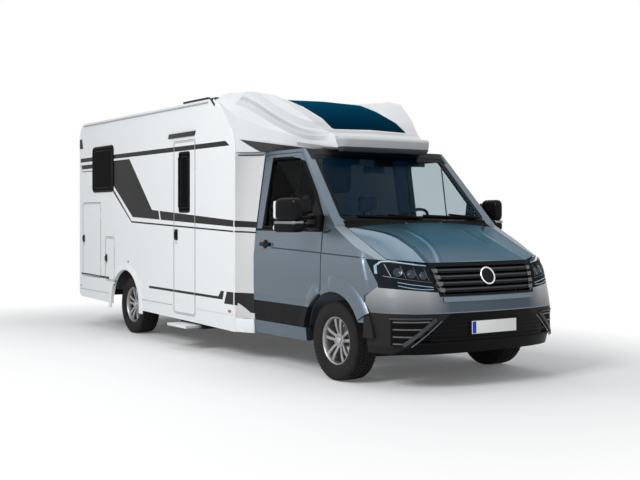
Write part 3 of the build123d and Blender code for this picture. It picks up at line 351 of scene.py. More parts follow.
def corner_paint():
    """The pale corner panels with the stripes run on across them."""
    paint = Paint("corner_shell", Specular_IOR_Level=0.04)
    band, pin = stripe_masks(paint)
    _, back, z = paint.place()
    groove = between(z, 2.136, 2.146)
    low = inside(back, z, CORNER_BLOCK)
    shade = paint.mix(paint.noise(1.5), (0.58, 0.585, 0.59), (0.62, 0.625, 0.63))
    paint.set("Base Color", paint.mix(any_of([band, pin, groove, low]), shade, ANTHRACITE))
    paint.set("Roughness", 0.28 + paint.noise(4.0) * 0.08)
    return paint.material


def silver_colour(paint):
    """Metallic flakes in silver grey, with painted shade that darkens it low down."""
    flakes = paint.noise(900.0, detail=1.0)
    coat = paint.mix(flakes, scaled(SILVER, 0.9), scaled(SILVER, 1.12))
    # painted shade: below 1.2 m the silver is mixed towards a darker silver
    depth = ((1.20 - paint.place()[2]) * 1.2).clipped(high=0.35)
    return paint.mix(depth, coat, scaled(SILVER, 0.55))


def silver_paint():
    """Silver-grey metallic paint under clear coat."""
    paint = Paint("cab_silver_coat", Metallic=SILVER_SHEEN, Coat_Weight=0.25, Coat_Roughness=0.05)
    paint.set("Base Color", silver_colour(paint))
    paint.set("Roughness", 0.30 + paint.noise(700.0, detail=1.0) * 0.10)
    return paint.material


def bonnet_paint():
    """Silver coat over a pressed ridge and a fine fold on each side, with a painted blue reflection on the flat between
    them.
    """
    paint = Paint("bonnet_coat", Metallic=1.0, Specular_Tint=(0.42, 0.55, 0.62))
    x, back, _ = paint.place()
    half = abs(x)
    bow = back + 0.37
    rear_part = bow.higher(0.0)
    front_part = (-0.56 - back).higher(0.0)
    ridge = half - (0.560 + rear_part * rear_part * 2.1 + front_part * 0.2)
    fold = half - (0.320 + bow * bow * 0.75)
    outer_slope = (1 - ridge * 5.0).higher(0.0) * (ridge > 0)
    inner_slope = (1 + ridge * 16.0).higher(0.0) * (ridge < 0)
    line = crest(fold, 26.0) * ((-0.12 - back) * 4.0).clipped()
    # painted reflection: the flat between the ridges is coloured deep blue, less so towards the nose
    flat = (0.2 - ridge * 9.0).clipped()
    nose_part = ((back + 0.86) * 3.0).clipped(low=0.25)
    paint.set("Base Color", paint.mix(flat * nose_part, silver_colour(paint), (0.070, 0.122, 0.160)))
    paint.set("Roughness", 0.28 + paint.noise(700.0, detail=1.0) * 0.08)
    paint.bump(outer_slope * outer_slope + inner_slope * inner_slope + line * 0.35, 1.0, 0.026)
    return paint.material


def cab_paint():
    """Silver coat with a black band over the windscreen."""
    paint = Paint("cab_coat", Coat_Weight=0.15, Coat_Roughness=0.05, Specular_IOR_Level=0.05)
    x, back, z = paint.place()
    band = (abs(x) < 0.842) * (z > 2.020) * (back < 0.84)
    paint.set("Base Color", paint.mix(band, silver_colour(paint), (0.006, 0.008, 0.010)))
    paint.set("Metallic", (1 - band) * SILVER_SHEEN)
    paint.set("Roughness", 0.28 + paint.noise(700.0, detail=1.0) * 0.08)
    return paint.material


def door_paint():
    """The cab doors: silver, with a black window frame, sill stripe and lower band."""
    paint = Paint("cab_door_coat", Coat_Roughness=0.05, Specular_IOR_Level=0.05)
    _, back, z = paint.place()
    seal = inside(back, z, DOOR_WINDOW)
    dark = any_of([between(z, *DOOR_LOWER_BAND), between(z, *DOOR_SILL), seal])
    shade = paint.mix(seal, (0.014, 0.014, 0.015), (0.003, 0.003, 0.004))
    paint.set("Base Color", paint.mix(dark, silver_colour(paint), shade))
    paint.set("Metallic", (1 - dark) * SILVER_SHEEN)
    paint.set("Coat Weight", (1 - dark) * 0.25)
    paint.set("Roughness", 0.30 + dark * 0.22)
    waist = 1.150 + (1.2 - back) * 0.035
    paint.bump(crest(z - waist, 60.0) + crest(z - 0.70, 30.0), 0.6, 0.010)
    return paint.material


def bumper_paint():
    """Grained black bumper whose upper band is body silver, with painted shade at its middle and a painted highlight
    towards its top at the sides.
    """
    paint = Paint("bumper_skin", Specular_IOR_Level=0.08)
    x, _, z = paint.place()
    half = abs(x)
    silver = z > 0.654
    centre = (half - (0.580 - z) * 1.3) < 0.551
    grain = paint.noise(600.0, detail=2.0)
    side_grey = paint.mix(z < 0.372, (0.022, 0.022, 0.023), (0.017, 0.017, 0.018))
    black = paint.mix(centre, side_grey, (0.0025, 0.0025, 0.003))
    # painted light: the silver band is coloured darker at the middle as painted shade, and at the sides lighter towards
    # its top as a painted highlight
    outer = ((half - 0.46) * 5.0).clipped()
    height = ((z - 0.68) * 5.5).clipped()
    side_coat = paint.mix(height, (0.17, 0.18, 0.19), (0.36, 0.37, 0.38))
    coat = paint.mix(outer, (0.060, 0.078, 0.096), side_coat)
    paint.set("Base Color", paint.mix(silver, black, coat))
    paint.set("Metallic", silver * SILVER_SHEEN)
    paint.set("Roughness", 0.55 - silver * 0.24 - centre * (1 - silver) * 0.20)
    paint.bump(grain * (1 - silver), 0.25, 0.0006)
    return paint.material


def plastic(name, colour, roughness, grain=500.0, strength=0.25):
    """Moulded plastic with a fine grain."""
    paint = Paint(name, IOR=1.30, Specular_IOR_Level=0.15)
    grains = paint.noise(grain, detail=2.0)
    patch = paint.noise(3.0)
    paint.set("Base Color", paint.mix(patch, colour, scaled(colour, 1.24)))
    paint.set("Roughness", roughness - 0.03 + patch * 0.06)
    paint.bump(grains, strength, 0.0006)
    return paint.material


def metal(name, colour, roughness):
    """Bare or plated metal."""
    paint = Paint(name, Metallic=1.0)
    grain = paint.noise(220.0, detail=3.0)
    paint.set("Base Color", paint.mix(grain, colour, scaled(colour, 1.15)))
    paint.set("Roughness", roughness - 0.05 + grain * 0.12)
    return paint.material


def visor_paint():
    """The smooth silver-grey front panel with a pale brow and a dark chin."""
    paint = Paint("visor_coat", Specular_IOR_Level=0.15)
    _, _, z = paint.place()
    cloud = paint.noise(4.0)
    silver = paint.mix(cloud, (0.46, 0.47, 0.475), (0.50, 0.51, 0.515))
    brow = paint.mix(z > 2.222, silver, (0.62, 0.63, 0.635))
    paint.set("Base Color", paint.mix(z < 2.152, brow, (0.060, 0.070, 0.082)))
    paint.set("Roughness", 0.28 + cloud * 0.06)
    return paint.material


def rubber_paint():
    """Tyre rubber with dust on it."""
    paint = Paint("tyre_rubber", Specular_IOR_Level=0.08)
    dust = paint.noise(14.0, detail=5.0)
    paint.set("Base Color", paint.mix(dust, (0.012, 0.012, 0.012), (0.030, 0.029, 0.028)))
    paint.set("Roughness", 0.62 + dust * 0.2)
    paint.bump(paint.noise(260.0, detail=3.0), 0.3, 0.0008)
    return paint.material


def clear_glass(name, tint, border=False):
    """Window glass that shows what is behind it, with a printed black border if asked."""
    paint = Paint(name, Roughness=0.0, IOR=1.05, Transmission_Weight=1.0)
    paint.set("Base Color", paint.mix(paint.noise(0.9, detail=1.0), tint, scaled(tint, 1.06)))
    if border:
        x, _, z = paint.place()
        (foot_half, foot_z), (head_half, head_z) = SCREEN_FOOT, SCREEN_HEAD
        edge = foot_half + (z - foot_z) * ((head_half - foot_half) / (head_z - foot_z)) - abs(x)
        black = any_of([z < 1.475, z > 2.035, edge < 0.042, (abs(x) < 0.10) * (z > 1.965)])
        film = paint.mix(black, (0.001, 0.020, 0.050), (0.002, 0.003, 0.004))
        coated = paint.node("ShaderNodeBsdfPrincipled", Base_Color=film, Roughness=0.15, Specular_IOR_Level=0.08)
        paint.blend(black.higher(0.24), coated)
    return paint.material


def dark_acrylic(name, colour):
    """Nearly black acrylic glazing."""
    paint = Paint(name, IOR=1.12, Specular_IOR_Level=0.06)
    smear = paint.noise(2.5, detail=3.0)
    paint.set("Base Color", paint.mix(smear, colour, scaled(colour, 1.9)))
    paint.set("Roughness", 0.06 + smear * 0.05)
    return paint.material


def sky_paint():
    """Dark blue skylight glazing, paler towards its upper end, in a black border."""
    paint = Paint("sky_glazing", IOR=1.08, Specular_IOR_Level=0.0)
    _, back, _ = paint.place()
    low, high = SKYLIGHT
    share = ((back - low) / (high - low)).maths("ADD", 0.0, clamp=True)
    border = (back < low + 0.035).higher(back > high - 0.035)
    glass = paint.mix(share, (0.001, 0.017, 0.038), (0.001, 0.058, 0.118))
    paint.set("Base Color", paint.mix(border, glass, (0.01, 0.011, 0.012)))
    paint.set("Roughness", 0.07 + paint.noise(3.0) * 0.05)
    return paint.material


def cloth_paint(name, colour):
    """Woven seat fabric."""
    paint = Paint(name, Sheen_Weight=0.25, Roughness=0.9)
    weave = paint.waves("DIAGONAL", 260.0, 1.5)
    cross = paint.waves("Z", 300.0, 1.0)
    paint.set("Base Color", paint.mix(weave * cross, colour, scaled(colour, 2.2)))
    paint.bump(weave + cross, 0.4, 0.0008)
    return paint.material


def lens_paint(name, colour):
    """Coloured lamp lens with vertical flutes."""
    paint = Paint(name, Coat_Weight=1.0, Coat_Roughness=0.03)
    flute = paint.waves("X", 40.0)
    paint.set("Base Color", paint.mix(flute, colour, scaled(colour, 1.5)))
    paint.set("Roughness", 0.12 + flute * 0.1)
    paint.bump(flute, 0.3, 0.001)
    return paint.material


FINISH = {
    "wall": wall_paint(),
    "gel": gel_paint(),
    "corner": corner_paint(),
    "silver": silver_paint(),
    "cab": cab_paint(),
    "door": door_paint(),
    "bonnet": bonnet_paint(),
    "bumper": bumper_paint(),
    "black": plastic("grained_black", (0.010, 0.010, 0.011), 0.55),
    "gloss_black": plastic("piano_black", (0.008, 0.008, 0.009), 0.16, strength=0.02),
    "dark_grey": plastic("dark_grey_trim", (0.040, 0.041, 0.043), 0.5),
    "cabin": plastic("cabin_grey", (0.004, 0.009, 0.014), 0.7),
    "floor": plastic("floor_board", (0.09, 0.09, 0.09), 0.7, grain=90.0),
    "frame": plastic("chassis_coat", (0.018, 0.018, 0.019), 0.45, grain=60.0, strength=0.4),
    "engine": metal("engine_casting", (0.20, 0.20, 0.21), 0.6),
    "steel": metal("forged_steel", (0.30, 0.30, 0.31), 0.45),
    "slat": metal("slat_edge", (0.045, 0.052, 0.060), 0.40),
    "slat_end": metal("slat_end", (0.120, 0.122, 0.125), 0.45),
    "disc": metal("brake_disc_steel", (0.42, 0.41, 0.40), 0.30),
    "alloy": metal("wheel_alloy", (0.34, 0.34, 0.345), 0.38),
    "chrome": metal("bright_trim", (0.70, 0.71, 0.73), 0.12),
    "satin": metal("satin_trim", (0.42, 0.44, 0.46), 0.32),
    "tread_plate": metal("step_plate", (0.72, 0.73, 0.74), 0.40),
    "visor": visor_paint(),
    "rubber": rubber_paint(),
    "screen": clear_glass("screen_glass", (0.84, 0.93, 0.96), border=True),
    "pane": clear_glass("door_glass", (0.74, 0.80, 0.81)),
    "acrylic": dark_acrylic("window_acrylic", (0.0025, 0.0025, 0.003)),
    "sky": sky_paint(),
    "hatch": dark_acrylic("hatch_dome", (0.05, 0.055, 0.06)),
    "fabric": cloth_paint("seat_weave", (0.014, 0.015, 0.017)),
    "red": lens_paint("red_lens", (0.42, 0.012, 0.010)),
    "marker": lens_paint("marker_lens", (0.30, 0.035, 0.012)),
    "amber": lens_paint("amber_lens", (0.75, 0.16, 0.02)),
    "white_light": lens_paint("white_light", (0.20, 0.33, 0.40)),
    "mirror": metal("mirror_glass", (0.80, 0.82, 0.84), 0.05),
    "deep_black": plastic("intake_black", (0.004, 0.004, 0.004), 0.8),
    # painted shade for the waist creases
    "crease_shade_grey": metal("crease_shade_metal", (0.045, 0.055, 0.065), 0.5),
    "strip_grey": plastic("strip_grey", (0.060, 0.061, 0.063), 0.4),
    "lamp_dark": dark_acrylic("lamp_housing", (0.010, 0.013, 0.017)),
    "bowl": metal("lamp_bowl", (0.045, 0.055, 0.065), 0.20),
    "plate": plastic("plate_white", (0.80, 0.80, 0.78), 0.35, strength=0.02),
    "plate_blue": plastic("plate_blue", (0.02, 0.06, 0.42), 0.35, strength=0.02),
    "belt": metal("mirror_belt", (0.22, 0.225, 0.23), 0.35),
    "trim_grey": plastic("trim_grey", (0.36, 0.37, 0.38), 0.40, strength=0.05),
    "white_frame": plastic("white_frame", (0.72, 0.73, 0.74), 0.35, strength=0.05),
}

FINISH_NODES = {
    "frame": ("chassis_frame", "front_axle_carrier", "rear_axle", "step_housing"),
    "engine": ("engine_block",),
    "black": ("underfloor_tanks", "grille"),
    "cab": ("cab_shell",),
    "silver": ("front_wings",),
    "bonnet": ("bonnet",),
    "bumper": ("front_bumper",),
    "door": ("left_cab_door", "right_cab_door"),
    "pane": ("left_cab_door_pane", "right_cab_door_pane"),
    "gloss_black": ("left_mirror", "right_mirror"),
    "screen": ("windscreen",),
    "deep_black": ("cowl",),
    "cabin": ("dashboard",),
    "corner": ("corner_panels",),
    "gel": ("overcab_fairing", "rear_bumper"),
    "visor": ("front_visor",),
    "sky": ("skylight",),
    "wall": (
        "right_wall", "left_wall", "rear_wall", "roof", "side_skirts", "entrance_door", "right_garage_door",
        "right_service_door", "left_garage_door",
    ),
    "floor": ("living_floor",),
    "acrylic": ("body_windows", "entrance_door_pane"),
    "hatch": ("roof_hatches",),
    "red": ("rear_lamps",),
    "tread_plate": ("entrance_step",),
    "steel": ("left_knuckle", "right_knuckle"),
    "lamp_dark": ("headlamps",),
}
for finish_name, node_names in FINISH_NODES.items():
    for node_name in node_names:
        slots = NODES[node_name].material_slots
        if not slots:
            NODES[node_name].data.materials.append(FINISH[finish_name])
        for material_slot in slots:
            material_slot.material = FINISH[finish_name]


# ---------------------------------------------------------------- making pieces
def piece(name, mesh, finish, body=CHASSIS, smooth=35.0):
    """An object at the origin from a bmesh, with its finish and the body that it rides on."""
    bmesh.ops.remove_doubles(mesh, verts=mesh.verts, dist=1e-6)
    bmesh.ops.recalc_face_normals(mesh, faces=mesh.faces)
    data = bpy.data.meshes.new(name)
    mesh.to_mesh(data)
    mesh.free()
    thing = bpy.data.objects.new(name, data)
    bpy.context.scene.collection.objects.link(thing)
    data.materials.append(FINISH[finish])
    for polygon in data.polygons:
        polygon.use_smooth = True
    data.set_sharp_from_angle(angle=math.radians(smooth))
    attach(thing, body)
    return thing


def bevelled(mesh, edges, width, segments):
    """Rounds the given edges."""
    bmesh.ops.bevel(
        mesh, geom=list(edges), offset=width, segments=segments, profile=0.5, affect="EDGES", material=-1
    )


def block(mesh, low, high, bevel=0.0, segments=2, turn=None):
    """A block between two corners, with its edges bevelled, turned about its middle."""
    low, high = Vector(low), Vector(high)
    size = high - low
    place = Matrix.Translation((low + high) / 2) @ (turn or Matrix.Identity(4)) @ Matrix.Diagonal((*size, 1))
    made = bmesh.ops.create_cube(mesh, size=1.0, matrix=place)
    if bevel:
        bevelled(mesh, {edge for vert in made["verts"] for edge in vert.link_edges}, bevel, segments)


def side_block(mesh, side, outs, backs, heights, bevel=0.0, segments=2):
    """A block on one side, by its reach out, its reach behind the axle and its heights."""
    low_x, high_x = sorted((side * outs[0], side * outs[1]))
    block(mesh, (low_x, at(backs[0]), heights[0]), (high_x, at(backs[1]), heights[1]), bevel, segments)


def rod(mesh, start, end, radius, sides=12):
    """A round bar from one point to another."""
    start, end = Vector(start), Vector(end)
    axis = end - start
    turn = axis.to_track_quat("Z", "Y").to_matrix().to_4x4()
    bmesh.ops.create_cone(
        mesh, cap_ends=True, segments=sides, radius1=radius, radius2=radius, depth=axis.length,
        matrix=Matrix.Translation((start + end) / 2) @ turn,
    )


def turned(mesh, profile, centre, steps=96, sweep=TAU, start=0.0):
    """A profile of (along X, radius) pairs spun round the X axis through a centre."""
    centre = Vector(centre)
    lift = Matrix.Rotation(start, 4, "X")
    verts = [mesh.verts.new(centre + lift @ Vector((x, 0, radius))) for x, radius in profile]
    full = abs(sweep - TAU) < 1e-6
    edges = [mesh.edges.new(pair) for pair in zip(verts, verts[1:])]
    if (profile[0][0] - profile[-1][0]) ** 2 + (profile[0][1] - profile[-1][1]) ** 2 > 1e-12 and not full:
        edges.append(mesh.edges.new((verts[-1], verts[0])))
    bmesh.ops.spin(
        mesh, geom=verts + edges, cent=centre, axis=(1, 0, 0), angle=sweep, steps=steps, use_merge=full
    )


def closed(mesh):
    """Fills the open ends of a mesh."""
    bmesh.ops.holes_fill(mesh, edges=[edge for edge in mesh.edges if edge.is_boundary], sides=0)


def extruded(mesh, outline, along, low, high, bevel=0.0, segments=2):
    """An outline of two coordinates, carried along the third axis between two places."""
    order = {"x": lambda a, b, c: (c, a, b), "z": lambda a, b, c: (a, b, c)}[along]
    verts = [mesh.verts.new(order(a, b, low)) for a, b in outline]
    face = mesh.faces.new(verts)
    grown = bmesh.ops.extrude_face_region(mesh, geom=[face])
    moved = [item for item in grown["geom"] if isinstance(item, bmesh.types.BMVert)]
    bmesh.ops.translate(mesh, verts=moved, vec=Vector(order(0, 0, high - low)))
    if bevel:
        bevelled(mesh, {edge for vert in verts + moved for edge in vert.link_edges}, bevel, segments)


TREES = {}
LOOKS = {
    "front": (lambda a, b: Vector((a, -6, b)), Vector((0, 1, 0))),
    "rear": (lambda a, b: Vector((a, 6, b)), Vector((0, -1, 0))),
    "right": (lambda a, b: Vector((-3, a, b)), Vector((1, 0, 0))),
    "left": (lambda a, b: Vector((3, a, b)), Vector((-1, 0, 0))),
    "top": (lambda a, b: Vector((a, b, 5)), Vector((0, 0, -1))),
}


def surface(nodes, look, a, b):
    """The place and the outward direction where a look first meets the given nodes."""
    if nodes not in TREES:
        places, faces = [], []
        for node in nodes:
            data = NODES[node].data
            base = len(places)
            places += [vert.co.copy() for vert in data.vertices]
            faces += [[base + index for index in polygon.vertices] for polygon in data.polygons]
        TREES[nodes] = BVHTree.FromPolygons(places, faces)
    start, direction = LOOKS[look]
    place, normal, _, _ = TREES[nodes].ray_cast(start(a, b), direction)
    if place is None:
        place, normal, _, _ = TREES[nodes].find_nearest(start(a, b) + direction * 2)
    if normal.dot(direction) > 0:
        normal = -normal
    return place, normal


def drape(mesh, nodes, look, corners, cuts=(8, 1), lift=0.0, thick=0.004, level=None):
    """A patch with four corners laid on the nodes' surface, with a thickness outwards.

    A level names the height whose surface is followed, for a patch that spans slots.
    """
    made = bmesh.ops.create_grid(mesh, x_segments=cuts[0], y_segments=cuts[1], size=1.0)
    verts = made["verts"]
    first, second, third, fourth = (Vector(corner) for corner in corners)
    outward = {}
    for vert in verts:
        u, v = (vert.co.x + 1) / 2, (vert.co.y + 1) / 2
        spot = first * (1 - u) * (1 - v) + second * u * (1 - v) + third * u * v + fourth * (1 - u) * v
        place, normal = surface(nodes, look, spot.x, spot.y if level is None else level)
        if level is not None:
            place.z = spot.y
        vert.co = place + normal * lift
        outward[vert] = normal
    faces = list({face for vert in verts for face in vert.link_faces})
    grown = bmesh.ops.extrude_face_region(mesh, geom=faces, use_keep_orig=True)
    tops = [item for item in grown["geom"] if isinstance(item, bmesh.types.BMVert)]
    for top in tops:
        base = min(verts, key=lambda vert: (vert.co - top.co).length_squared)
        top.co = top.co + outward[base] * thick


def ribbon(mesh, nodes, look, points, width, lift=-0.001, thick=0.004, step=0.03, level=None):
    """A strip of even width laid along a line of points on the nodes' surface."""
    for start, end in zip(points, points[1:]):
        start, end = Vector(start), Vector(end)
        along = (end - start).normalized()
        side = Vector((-along.y, along.x)) * width / 2
        cuts = max(1, round((end - start).length / step))
        drape(mesh, nodes, look, (start - side, end - side, end + side, start + side), (cuts, 1), lift, thick, level)


def strips(name, finish, slot, nodes, look, lines, width, body=CHASSIS, **laid):
    """A piece of ribbons, one along each line."""
    mesh = bmesh.new()
    for line in lines:
        ribbon(mesh, nodes, look, line, width, **laid)
    return piece(name, mesh, finish, body)


def join(mesh, part):
    """Moves one bmesh's shape into another."""
    data = bpy.data.meshes.new("joined_part")
    part.to_mesh(data)
    part.free()
    mesh.from_mesh(data)
    bpy.data.meshes.remove(data)


def dished(mesh, profile, place, outward, steps=32):
    """A profile of (along, radius) pairs spun round an outward direction from a place."""
    made = bmesh.new()
    turned(made, profile, (0, 0, 0), steps=steps)
    turn = Vector(outward).to_track_quat("X", "Z").to_matrix().to_4x4()
    bmesh.ops.transform(made, matrix=Matrix.Translation(Vector(place)) @ turn, verts=made.verts)
    join(mesh, made)


def seated(mesh, nodes, look, middle_point, size, depth, bevel=0.003, sink=0.002):
    """A bevelled block that sits on the nodes' surface, turned to lie flat on it."""
    place, normal = surface(nodes, look, *middle_point)
    turn = (-LOOKS[look][1]).rotation_difference(normal).to_matrix().to_4x4()
    if look == "top":
        spread = (*size, depth)
    else:
        spread = (size[0], depth, size[1]) if look in ("front", "rear") else (depth, *size)
    centre = place + normal * (depth / 2 - sink)
    half = Vector(spread) / 2
    block(mesh, centre - half, centre + half, bevel, turn=turn)


def seats(name, finish, nodes, look, spots, body=CHASSIS):
    """A piece of seated blocks, each given by its middle, size, depth, bevel and sink."""
    mesh = bmesh.new()
    for spot in spots:
        seated(mesh, nodes, look, *spot)
    return piece(name, mesh, finish, body)


# ---------------------------------------------------------------- wheels
TREAD_DEPTH = 0.0075
TREAD_SECTORS = 64
TREAD_ROOT = 0.004  # how far a tread block reaches into the carcass
TREAD_ROWS = (  # place across, width and slant
    (-0.090, 0.030, 0.30), (-0.052, 0.030, -0.35), (0.0, 0.050, 0.0), (0.052, 0.030, 0.35), (0.090, 0.030, -0.30),
)
SPOKES = 5
RIM_EDGE = 0.095  # the rim's outer edge, from the wheel's middle plane
BOLT_CIRCLE = 0.052
HUB = [(0.010, 0.0), (0.010, 0.070), (0.050, 0.072), (0.062, 0.066), (0.066, 0.050), (0.060, 0.034), (0.060, 0.0)]
HUB_CAP = [(0.058, 0.0), (0.058, 0.033), (0.070, 0.033), (0.0735, 0.029), (0.075, 0.018), (0.076, 0.0)]
DISC_FACE = [(-0.060, 0.060), (-0.060, 0.150), (-0.066, 0.152), (-0.084, 0.152), (-0.084, 0.060), (-0.060, 0.060)]
DISC_HAT = [(-0.062, 0.064), (-0.010, 0.064), (-0.008, 0.060), (-0.008, 0.026), (-0.062, 0.026), (-0.062, 0.064)]
CALIPER = [(0.030, 0.108), (0.030, 0.168), (-0.030, 0.168), (-0.030, 0.108)]
CALIPER_INSET = 0.072


def tyre(name, side, axle_y, body, node):
    """A tyre: carcass with a grooved crown, and tread blocks in sectors."""
    mesh = bmesh.new()
    centre = Vector((side * WHEEL_X, axle_y, TYRE_RADIUS))
    base = TYRE_RADIUS - TREAD_DEPTH
    half = [(0.0, base)]
    half += [(TYRE_HALF - inset, base - drop) for inset, drop in (
        (0.028, 0.0015), (0.013, 0.008), (0.005, 0.022), (0.0015, 0.040)
    )]
    half += [(TYRE_HALF - inset, RIM_RADIUS + rise) for inset, rise in (
        (0.0, 0.068), (0.002, 0.058), (0.0005, 0.052), (0.003, 0.038), (0.010, 0.018), (0.015, 0.010), (0.019, 0.002),
        (0.026, -0.004),
    )]
    turned(mesh, [(-x, radius) for x, radius in reversed(half)] + half[1:], centre, steps=96)
    pitch = TAU / TREAD_SECTORS
    length = TYRE_RADIUS * pitch * 0.80
    for sector in range(TREAD_SECTORS):
        for row, (x, width, slant) in enumerate(TREAD_ROWS):
            top = TYRE_RADIUS - (0.004 if abs(x) > 0.08 else 0.0002)
            shape = (
                Matrix.Translation(centre) @ Matrix.Rotation((sector + 0.5 * (row % 2)) * pitch, 4, "X")
                @ Matrix.Translation((x, 0, (base - TREAD_ROOT + top) / 2)) @ Matrix.Rotation(slant, 4, "Z")
                @ Matrix.Diagonal((width, length, top - base + TREAD_ROOT, 1))
            )
            bmesh.ops.create_cube(mesh, size=1.0, matrix=shape)
    made = piece(name, mesh, "rubber", body, 30)
    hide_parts(node)
    return made


def spoke(mesh, centre, side, angle, lean):
    """One bar of a twin spoke, bowed out from the hub and widening to the rim."""
    inner, outer = 0.045, RIM_RADIUS - 0.018
    bar = bmesh.new()
    bmesh.ops.create_cube(bar, size=1.0)
    long_edges = [edge for edge in bar.edges if abs(edge.verts[0].co.z - edge.verts[1].co.z) > 0.5]
    bmesh.ops.subdivide_edges(bar, edges=long_edges, cuts=6)
    crown_edges = [edge for edge in bar.edges if all(vert.co.x > 0.4 for vert in edge.verts)
                   and abs(edge.verts[0].co.y - edge.verts[1].co.y) < 0.1]
    bevelled(bar, crown_edges, 0.16, 2)
    turn = Matrix.Rotation(angle, 4, "X")
    for vert in bar.verts:
        share = vert.co.z + 0.5
        reach = inner + (outer - inner) * share
        middle_side = lean * (0.017 + 0.026 * share)
        width = 0.026 + 0.008 * share
        bow = 0.052 + 0.024 * math.sin(share * math.pi * 0.62)
        depth = 0.030 - 0.008 * share
        place = turn @ Vector((bow - depth * (0.5 - vert.co.x), middle_side + vert.co.y * width, reach))
        vert.co = centre + Vector((side * place.x, place.y, place.z))
    join(mesh, bar)


def around(angle, radius):
    """A step from a wheel's middle at an angle from the top."""
    return Vector((0, math.sin(angle), math.cos(angle))) * radius


def rim(name, side, axle_y, body, node):
    """An alloy wheel: dished barrel, twin spokes, hub, bolts, valve and a plain cap; and the brake disc behind it."""
    mesh = bmesh.new()
    centre = Vector((side * WHEEL_X, axle_y, TYRE_RADIUS))
    barrel = [(RIM_EDGE - inset, RIM_RADIUS - drop) for inset, drop in (
        (0.0, 0.001), (0.0, 0.006), (0.006, 0.013), (0.016, 0.016), (0.030, 0.022), (0.075, 0.026)
    )]
    barrel += [(0.02 - RIM_EDGE, RIM_RADIUS - 0.020), (-RIM_EDGE, RIM_RADIUS - 0.014), (-RIM_EDGE, RIM_RADIUS - 0.001),
               (0.02 - RIM_EDGE, RIM_RADIUS - 0.004)]
    barrel += [(RIM_EDGE - inset, RIM_RADIUS - drop) for inset, drop in ((0.05, 0.012), (0.02, 0.006), (0.0, 0.001))]
    turned(mesh, sided(side, barrel), centre, steps=96)
    turned(mesh, sided(side, HUB), centre, steps=48)
    for index in range(SPOKES):
        for lean in (-1, 1):
            spoke(mesh, centre, side, TAU * index / SPOKES, lean)
    made = piece(name, mesh, "alloy", body)
    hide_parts(node)
    trim = bmesh.new()
    turned(trim, sided(side, HUB_CAP), centre, steps=32)
    for index in range(SPOKES):
        spot = centre + around(TAU * (index + 0.5) / SPOKES, BOLT_CIRCLE)
        rod(trim, spot + Vector((side * 0.050, 0, 0)), spot + Vector((side * 0.070, 0, 0)), 0.0095, sides=6)
    stem = centre + around(TAU * 0.5 / SPOKES, RIM_RADIUS - 0.024)
    rod(trim, stem + Vector((side * 0.045, 0, 0)), stem + Vector((side * 0.078, 0, 0)), 0.004, sides=8)
    piece(f"{name}_bolts", trim, "satin", body)
    disc = bmesh.new()
    turned(disc, sided(side, DISC_FACE), centre, steps=64)
    turned(disc, sided(side, DISC_HAT), centre, steps=48)
    piece(f"{name}_disc", disc, "disc", body)


def caliper(name, side, axle_y, body):
    """A brake caliper over the disc's rear edge."""
    mesh = bmesh.new()
    centre = (side * (WHEEL_X - CALIPER_INSET), axle_y, TYRE_RADIUS)
    turned(mesh, CALIPER, centre, steps=10, sweep=0.75, start=-2.2)
    closed(mesh)
    piece(name, mesh, "steel", body)


for side, side_name in SIDES:
    for axle_name, axle_y, carrier in (("front", AXLE, f"{side_name}_knuckle"), ("rear", REAR_AXLE, CHASSIS)):
        wheel = f"{side_name}_{axle_name}_wheel"
        tyre(f"{side_name}_{axle_name}_tyre_tread", side, axle_y, wheel, f"{side_name}_{axle_name}_tyre")
        rim(f"{side_name}_{axle_name}_wheel_alloy", side, axle_y, wheel, f"{side_name}_{axle_name}_rim")
        caliper(f"{side_name}_{axle_name}_caliper", side, axle_y, carrier)

# ---------------------------------------------------------------- headlamps
LAMP = ("headlamps",)
LAMP_UPPER_BAR = [
    (0.622, 1.052), (0.70, 1.060), (0.80, 1.075), (0.88, 1.088), (0.935, 1.088), (0.962, 1.055), (0.968, 0.985),
]
LAMP_CELL_FLOOR = [(0.605, 0.912), (0.72, 0.926), (0.84, 0.944), (0.945, 0.968)]
LAMP_INNER_EDGE = [(0.592, 1.058), (0.588, 1.0), (0.578, 0.90), (0.572, 0.842)]
LAMP_BOWLS = ((0.672, 0.970, 0.036), (0.765, 0.985, 0.040), (0.858, 1.000, 0.040))  # distance out, height and radius


def headlamp_lights(side, side_name):
    """The light bars, reflectors and cell walls of one headlamp."""
    bright = bmesh.new()
    ribbon(bright, LAMP, "front", sided(side, LAMP_UPPER_BAR), 0.009, lift=0.0004, step=0.015)
    for drop in (0.0, 0.030):
        lower = [(0.600, 0.872 - drop * 0.6), (0.70, 0.886 - drop), (0.80, 0.900 - drop), (0.875, 0.918 - drop)]
        ribbon(bright, LAMP, "front", sided(side, lower), 0.006, lift=0.0004, step=0.02)
    piece(f"{side_name}_headlamp_bars", bright, "white_light")
    bowls = bmesh.new()
    for a, b, size in LAMP_BOWLS:
        place, normal = surface(LAMP, "front", side * a, b)
        bowl = [(0.0005, 0.0), (0.0025, size * 0.35), (0.0035, size * 0.45), (0.001, size * 0.55), (0.003, size * 0.92),
                (0.0045, size), (0.0, size * 1.04)]
        dished(bowls, bowl, place, normal)
    piece(f"{side_name}_headlamp_bowls", bowls, "bowl")
    walls = [
        [(a, 0.925 + (a - 0.6) * 0.12), (a + 0.018, 1.025 + (a - 0.6) * 0.14)] for a in (0.628, 0.718, 0.812, 0.905)
    ]
    cells = [sided(side, line) for line in (*walls, LAMP_CELL_FLOOR)]
    strips(f"{side_name}_headlamp_cells", "slat_end", "lamp", LAMP, "front", cells, 0.004, lift=0.0)
    edge = sided(side, LAMP_INNER_EDGE)
    strips(f"{side_name}_headlamp_edge", "gloss_black", "lamp", LAMP, "front", [edge], 0.008, lift=0.0, thick=0.003)


for side, side_name in SIDES:
    headlamp_lights(side, side_name)

